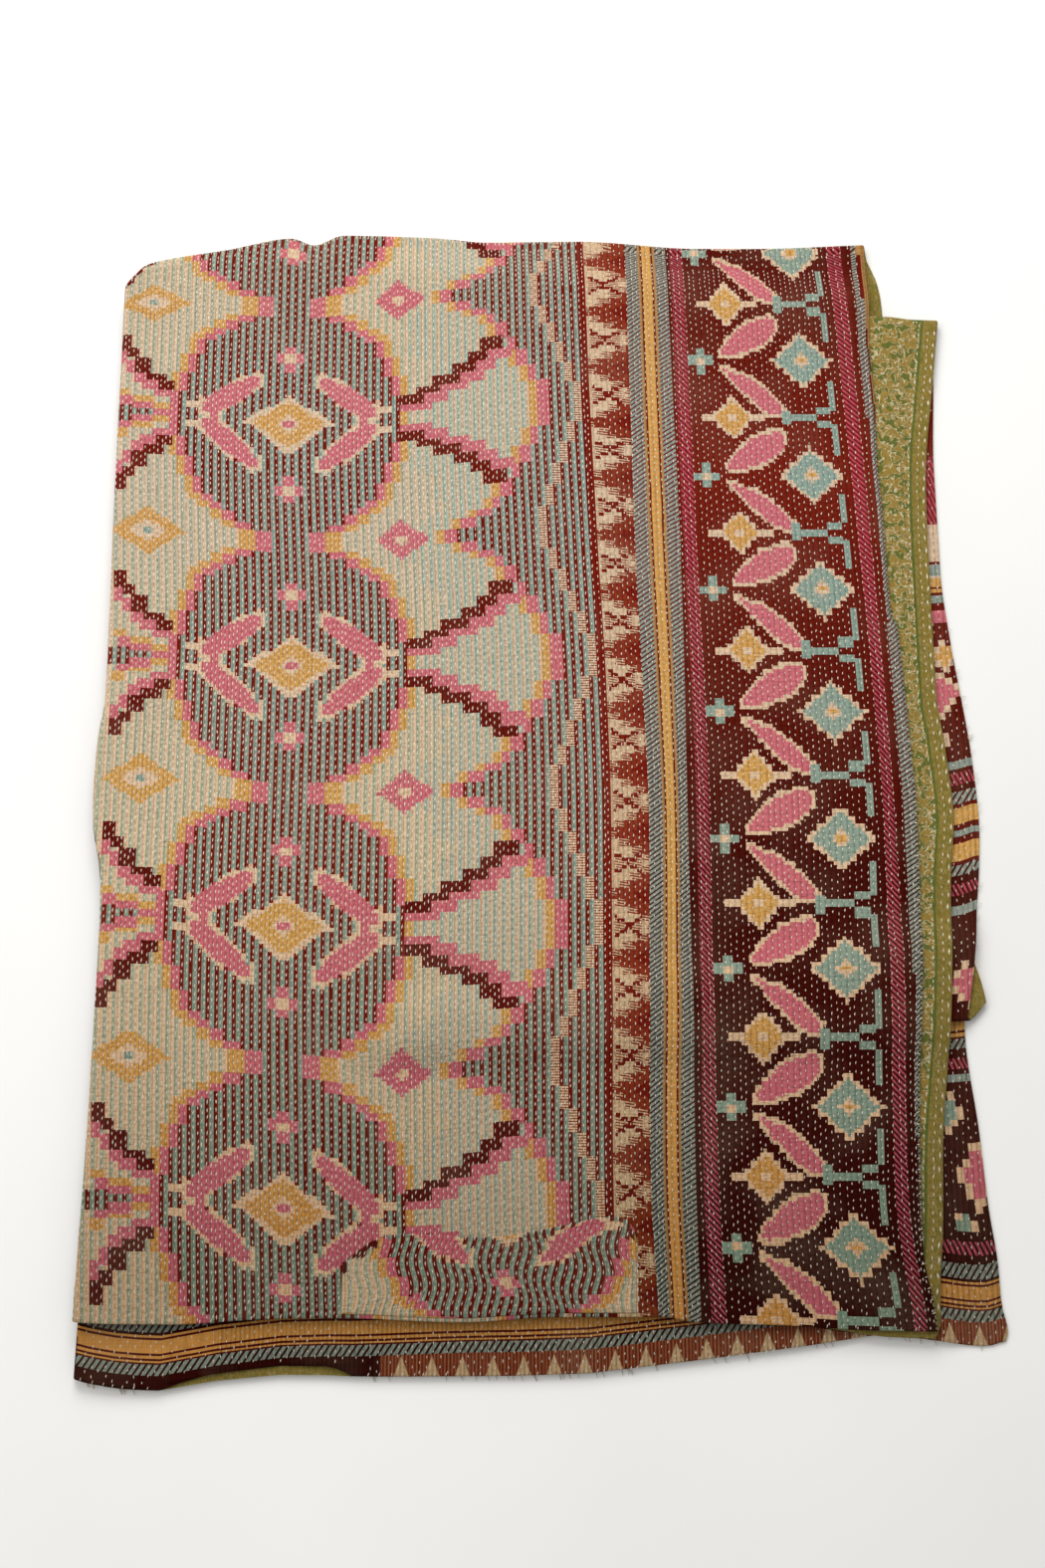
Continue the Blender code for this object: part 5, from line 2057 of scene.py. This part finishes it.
@dataclass
class Patch:
    """The piece of older cloth sewn over the near layer beside its bottom hem, off its line and puckered."""

    left: float = -175.0
    right: float = 88.0
    row_pitch: float = 3.6
    axis: float = -30.0
    middle: float = -427.6
    drawn_up: float = 0.8
    waver: float = 2.4
    # How deep the painted shade of the near hem lies on the patch's dyes
    painted_shade_share: float = 0.9
    depth: float = 75.0
    # How far above the hem's teeth the patch lies on the maps, so that it takes none of them
    above_hem: float = 300.0

    def place(self, x: Array, share: Array) -> tuple[Array, Array, Array]:
        """Where a place on the patch lies.

        Args:
            x: its place across, before the stitches drew the cloth about.
            share: its share of the way from the bottom hem to the top one.

        Returns:
            Its x, y and z in millimetres, on the middle of the patch's own thickness.
        """
        y = blend(NEAR_BOTTOM(x) + PATCH_HEM_INSET, PATCH_TOP(x), share)
        free = smooth((x - self.left) / 15) * smooth((self.right - x) / 15)
        wide = x + self.waver * free * np.sin(y / 7.5 + x / 70 + 1.5 * np.sin(x / 41))
        return wide, y, near_height(wide, y) + HALF_PLY

    def build(self, material: Material) -> Piece:
        """Lays the patch on the top layer.

        Args:
            material: the patch's finish.

        Returns:
            The piece.
        """
        counts = np.arange(math.ceil((self.left - self.axis) / HALF_STRIPE), (self.right - self.axis) / HALF_STRIPE)
        x = np.array([self.left, *((counts[1:] - 0.5) * HALF_STRIPE + self.axis), self.right])
        share = np.linspace(0, 1, round(self.depth / self.row_pitch) + 1)
        flat, up = np.meshgrid(x, share, indexing="ij")
        grid = np.stack(self.place(flat, up), axis=2)
        across = np.pad(flat - self.axis, ALL_CURLED, "edge")
        level = (np.pad(grid[:, :, 1], ALL_CURLED, "edge") - self.middle) / self.drawn_up
        maps = np.stack([across, level, across, level + self.above_hem], axis=2)
        surface = Surface(maps=[maps.reshape(-1, 4)])
        surface.add(curled(grid, PATCH_LIFT, (True, True, True, True)))
        centre = [(part[1:, 1:] + part[:-1, :-1]) / 2 for part in (across, level)]
        chart = Chart(centre[0].shape)
        level = centre[1] + FieldPattern.first_middle
        FieldPattern(chart, np.round(centre[0] / HALF_STRIPE), level, np.ones(chart.shape, bool)).paint()
        # The patch's dyes take the painted shade of the near hem
        surface.dyes.append(chart.values(np.full(chart.shape, self.painted_shade_share)))
        return add_piece("sewn_patch", surface.mesh("sewn_patch"), material)

    def stitches(self, seed: int) -> Stitches:
        """Where the patch's stitches lie, down its stripes and over its upper edge.

        Args:
            seed: the seed of the hand's unevenness.

        Returns:
            The stitches.
        """
        random = np.random.default_rng(seed)
        first, last = (self.left - self.axis) / HALF_STRIPE, (self.right - self.axis) / HALF_STRIPE
        columns = np.arange(math.ceil(first) + 1, last)
        x, step = np.meshgrid(columns * HALF_STRIPE + self.axis, np.arange(0.06, 0.98, 0.115), indexing="ij")
        share = step + 0.05 * (np.round(x / HALF_STRIPE) % 2) + random.normal(0, 0.01, x.shape)
        x = x + random.normal(0, 0.3, x.shape)
        edge = np.arange(self.left + 4, self.right - 3, 8.0)
        x = np.concatenate([x.ravel(), edge])
        share = np.concatenate([share.ravel(), np.full(len(edge), 0.985)])
        place = np.stack(self.place(x, share), axis=1)
        ahead = unit(np.stack(self.place(x, share + 0.02), axis=1) - place)
        up = np.array((0.0, 0.0, 1.0)) + np.zeros_like(place)
        return place + up * (PATCH_LIFT + THREAD_LIFT), ahead, up


def strip_height(x: Array, y: Array) -> Array:
    """Height of the far half's dyed face where it shows beside the layers above."""
    raised = tuck_height(x, np.zeros_like(x)) * smooth((rise_start(x, 0.0) - y) / TUCK_RISE)
    return under_height(x, y) + HALF_PLY + np.where(y > TUCK_FRONT(x), raised, 0.0)


@dataclass
class Hand:
    """An uneven hand that sews the hems and the lower layers, and where its stitches lie."""

    seed: int
    strip_spacing: float = 6.1
    strip_pitch: float = 8.6
    random: np.random.Generator = field(init=False)

    def __post_init__(self) -> None:
        """Starts the unevenness from its seed."""
        self.random = np.random.default_rng(self.seed)

    def lay(self, x: Array, y: Array, height: Callable, run: tuple[float, float]) -> Stitches:
        """Lays stitches on a layer whose height is known.

        Args:
            x: where their middles lie across.
            y: where they lie along.
            height: the height of the cloth's face.
            run: the way they run in plan.

        Returns:
            The stitches.
        """
        z = height(x, y)
        rise_x = height(x + 0.5, y) - height(x - 0.5, y)
        rise_y = height(x, y + 0.5) - height(x, y - 0.5)
        up = unit(np.stack([-rise_x, -rise_y, np.ones_like(z)], axis=1))
        turn = self.random.normal(0, 0.12, len(x))
        ahead = np.stack([run[0] - turn * run[1], run[1] + turn * run[0], np.zeros_like(x)], axis=1)
        ahead = unit(ahead - up * np.sum(ahead * up, axis=1, keepdims=True))
        return np.stack([x, y, z], axis=1) + up * THREAD_LIFT, ahead, up

    def strips(self) -> Stitches:
        """Quilts the strips of the lower layers that show beside the upper ones.

        Returns:
            The stitches.
        """
        x, y = np.meshgrid(
            np.arange(-405.0, 424, self.strip_spacing), np.arange(-575.0, 400, self.strip_pitch), indexing="ij"
        )
        row = np.round(x / self.strip_spacing)
        y = y + self.strip_pitch / 2 * (row % 2) + self.random.normal(0, 0.7, x.shape)
        x = x + 0.8 * np.sin(y / 50 + x) + self.random.normal(0, 0.5, x.shape)
        x, y = x.ravel(), y.ravel()
        hem = np.where(y > TUCK_FRONT(x), TUCK_UPPER_HEM(y), TUCK_LOWER_HEM(y))
        beside = x > np.maximum(FAR_HEM(y), NEAR_HEM(y)) + 1
        before = (y < NEAR_BOTTOM(x) - 1) & (x > SIDE_FOLD(y) + 9)
        inside = (y > UNDER_BOTTOM(x) + 3.5) & (x < hem - 2.2)
        bared = (x > WORN_HEM_START - 4) & (x < WORN_HEM_END + 4) & (y < UNDER_BOTTOM(x) + WORN_HEM_DEPTH + 3)
        tucked = np.abs(y - TUCK_FRONT(x)) < 6
        kept = inside & (beside | before) & ~bared & ~tucked & (self.random.uniform(0, 1, len(x)) > 0.12)
        return self.lay(x[kept], y[kept], strip_height, (0.0, 1.0))

    def backing_row(self, inset: float, pitch: float) -> Stitches:
        """Sews a row on the olive face beside the far half's hem.

        Args:
            inset: how far inside the hem the row lies.
            pitch: the spacing of its stitches.

        Returns:
            The stitches.
        """
        y = np.arange(-520.0, 470, pitch)
        y = y + self.random.normal(0, pitch * 0.07, len(y))
        x = FAR_HEM(y) - inset + self.random.normal(0, 0.35, len(y))
        kept = x > NEAR_HEM(y) + 1.5
        return self.lay(x[kept], y[kept], lambda x, y: far_height(x, y) + HALF_PLY, (0.0, 1.0))

    def overcast(self) -> Stitches:
        """Binds the near half's side and bottom hems, and the hem underneath.

        Returns:
            The stitches.
        """

        def face(x: Array, y: Array) -> Array:
            """The height of the near half's dyed face."""
            return near_height(x, y) + HALF_PLY

        y = np.arange(-512.0, 40, 10.5)
        y = y + self.random.normal(0, 0.8, len(y))
        parts = [self.lay(NEAR_HEM(y) - 1.7, y, face, (1.0, 0.35))]
        # Rows of (start, end, pitch, its spread, the hem, how far inside it, the face, the way they run)
        for start, end, pitch, spread, hem, inset, height, run in (
            (-395.0, 345.0, 13.0, 2.5, NEAR_BOTTOM, 1.8, face, (0.2, 1.0)),
            (-400.0, -345.0, 9.0, 2.0, UNDER_BOTTOM, 1.9, strip_height, (0.25, 1.0)),
            (-150.0, 400.0, 10.0, 2.0, UNDER_BOTTOM, 1.9, strip_height, (0.25, 1.0)),
        ):
            x = np.arange(start, end, pitch)
            x = x + self.random.normal(0, spread, len(x))
            parts.append(self.lay(x, hem(x) + inset, height, run))
        return tuple(np.concatenate(found) for found in zip(*parts))

    def frayed(self) -> Stitches:
        """Pulls loose ends out of the worn bottom and right hems.

        Returns:
            The loose ends, as stitches.
        """
        x = np.concatenate([
            self.random.uniform(start, end, count)
            for start, end, count in ((-405, -350, 9), (-150, 120, 26), (120, 400, 12))
        ])
        near = self.lay(x, UNDER_BOTTOM(x) - 0.4, lambda x, y: np.full_like(x, 1.5), (0.35, -1.0))
        y = self.random.uniform(-235, 160, 22)
        side = self.lay(TUCK_UPPER_HEM(y) + 0.5, y, lambda x, y: under_height(x, y) + 1.0, (1.0, 0.3))
        return tuple(np.concatenate(found) for found in zip(near, side))


@dataclass(frozen=True)
class PaintedBoard:
    """A board painted a warm white with a brush: an even, almost matt ground with very faint clouds."""

    name: str = "warm white painted board"
    colour: str = "#f7f6f3"

    def make(self) -> Material:
        """Builds the finish."""
        material, tree, inputs = bare_finish(self.name, 0.7, 0.2, 0.0)
        place = add(tree, "TexCoord", (), "Object")
        uneven = add(tree, "TexNoise", {"Vector": place, "Scale": 3.0, "Detail": 3.0})
        share = add(tree, "MapRange", (uneven, 0.3, 0.7, 0.0, 1.0))
        colour = add(tree, "Mix", {0: share, 6: linear(self.colour), 7: linear("#f3f2ee")}, 2, data_type="RGBA")
        tree.links.new(colour, inputs["Base Color"])
        return material


@dataclass
class Studio:
    """The camera, the pale floor and the soft lights."""

    distance: float = 2.075
    elevation: float = 72.4
    aim: tuple[float, float, float] = (-0.01359, -0.02177, 0.0147)
    lens_length: float = 50.0
    sensor: tuple[float, float] = (24.0, 36.0)
    floor_reach: float = 6.0
    # Name, place, width and power of each lamp
    lamps: tuple = (("back light", (-0.3, 1.9, 2.1), 2.0, 60.0), ("side light", (-1.8, -0.2, 2.0), 1.6, 16.0))
    room_light: float = 0.46

    def camera(self) -> None:
        """Sets the camera over the quilt."""
        lens = bpy.data.cameras.new("camera")
        lens.lens = self.lens_length
        lens.sensor_fit = "VERTICAL"
        lens.sensor_width, lens.sensor_height = self.sensor
        lens.clip_end = 50.0
        made = placed("camera", lens)
        tilt = math.radians(self.elevation)
        x, y, z = self.aim
        made.location = (x, y - self.distance * math.cos(tilt), z + self.distance * math.sin(tilt))
        made.rotation_euler = (math.pi / 2 - tilt, 0.0, 0.0)
        bpy.context.scene.camera = made

    def floor(self) -> None:
        """Lays a plain pale floor."""
        mesh = bpy.data.meshes.new("floor")
        far = self.floor_reach
        mesh.from_pydata([(-far, -far, 0), (far, -far, 0), (far, far, 0), (-far, far, 0)], [], [(0, 1, 2, 3)])
        add_piece("floor", mesh, PaintedBoard().make())

    def lights(self) -> None:
        """Hangs one wide light behind and one beside the quilt, over a dim even room."""
        for name, place, size, power in self.lamps:
            lamp = bpy.data.lights.new(name, "AREA")
            lamp.shape = "SQUARE"
            lamp.size, lamp.energy = size, power
            made = placed(name, lamp)
            made.location = place
            distance = math.hypot(place[0], place[1])
            made.rotation_euler = (math.atan2(distance, place[2]), 0.0, math.atan2(place[0], -place[1]))
        world = bpy.data.worlds.new("studio")
        world.use_nodes = True
        world.node_tree.nodes["Background"].inputs["Color"].default_value = (1.0, 1.0, 1.0, 1.0)
        world.node_tree.nodes["Background"].inputs["Strength"].default_value = self.room_light
        bpy.context.scene.world = world
        bpy.context.scene.view_settings.view_transform = "Standard"


# The cloths laid flat, in metres
FLAT_QUILT = (1.56, 2.19)
FLAT_PATCH = (0.26, 0.09)


def main() -> None:
    """Makes the cloths, the stitches, the stage and the camera in order."""
    logging.basicConfig(level=logging.INFO, format="%(message)s")
    studio = Studio()
    studio.camera()
    dyed, thread = DyedCotton().make(), CottonThread().make()
    front_cloth, patch_cloth = FrontCloth(), Patch()
    front = front_cloth.build(dyed)
    back = BackCloth().build(PrintedCotton().make())
    patch = patch_cloth.build(dyed)
    running = Quilting()
    short = Quilting(length=3.1, width=1.02, height=0.6, seed=8)
    fine = Quilting(length=3.1, width=1.0, height=0.55, seed=9)
    dashes = Quilting(length=6.2, width=1.6, height=0.8, seed=11)
    ends = Quilting(length=7.5, width=0.7, height=0.5, seed=13)
    sewn = {
        "front_cloth": [
            running.sew("field_stitches", running_rows(front_cloth, -52, 74, 3), thread),
            short.sew("border_stitches", running_rows(front_cloth, 74, 127, 5), thread),
            fine.sew("strip_stitches", Hand(17).strips(), thread),
            fine.sew("hem_overcasting", Hand(19).overcast(), thread),
            ends.sew("frayed_ends", Hand(23).frayed(), thread),
        ],
        "back_cloth": [
            dashes.sew("hem_dashes", Hand(29).backing_row(3.0, 13.5), thread),
            running.sew("band_stitches", Hand(31).backing_row(9.0, 8.0), thread),
            running.sew("line_stitches", Hand(37).backing_row(18.5, 7.5), thread),
        ],
        "patch": [running.sew("patch_stitches", patch_cloth.stitches(41), thread)],
    }
    for piece, node, flat, under in (
        (front, "front_cloth", FLAT_QUILT, "back_cloth"), (back, "back_cloth", FLAT_QUILT, "front_cloth"),
        (patch, "patch", FLAT_PATCH, "front_cloth"),
    ):
        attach(piece, "root")
        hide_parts(node)
        LOG.info("%s: %d faces", piece.name, len(piece.data.polygons))
        for stitches in sewn[node]:
            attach(stitches, "root")
            LOG.info("%s: %d faces", stitches.name, len(stitches.data.polygons))
    studio.floor()
    studio.lights()


if __name__ == "__main__":
    main()
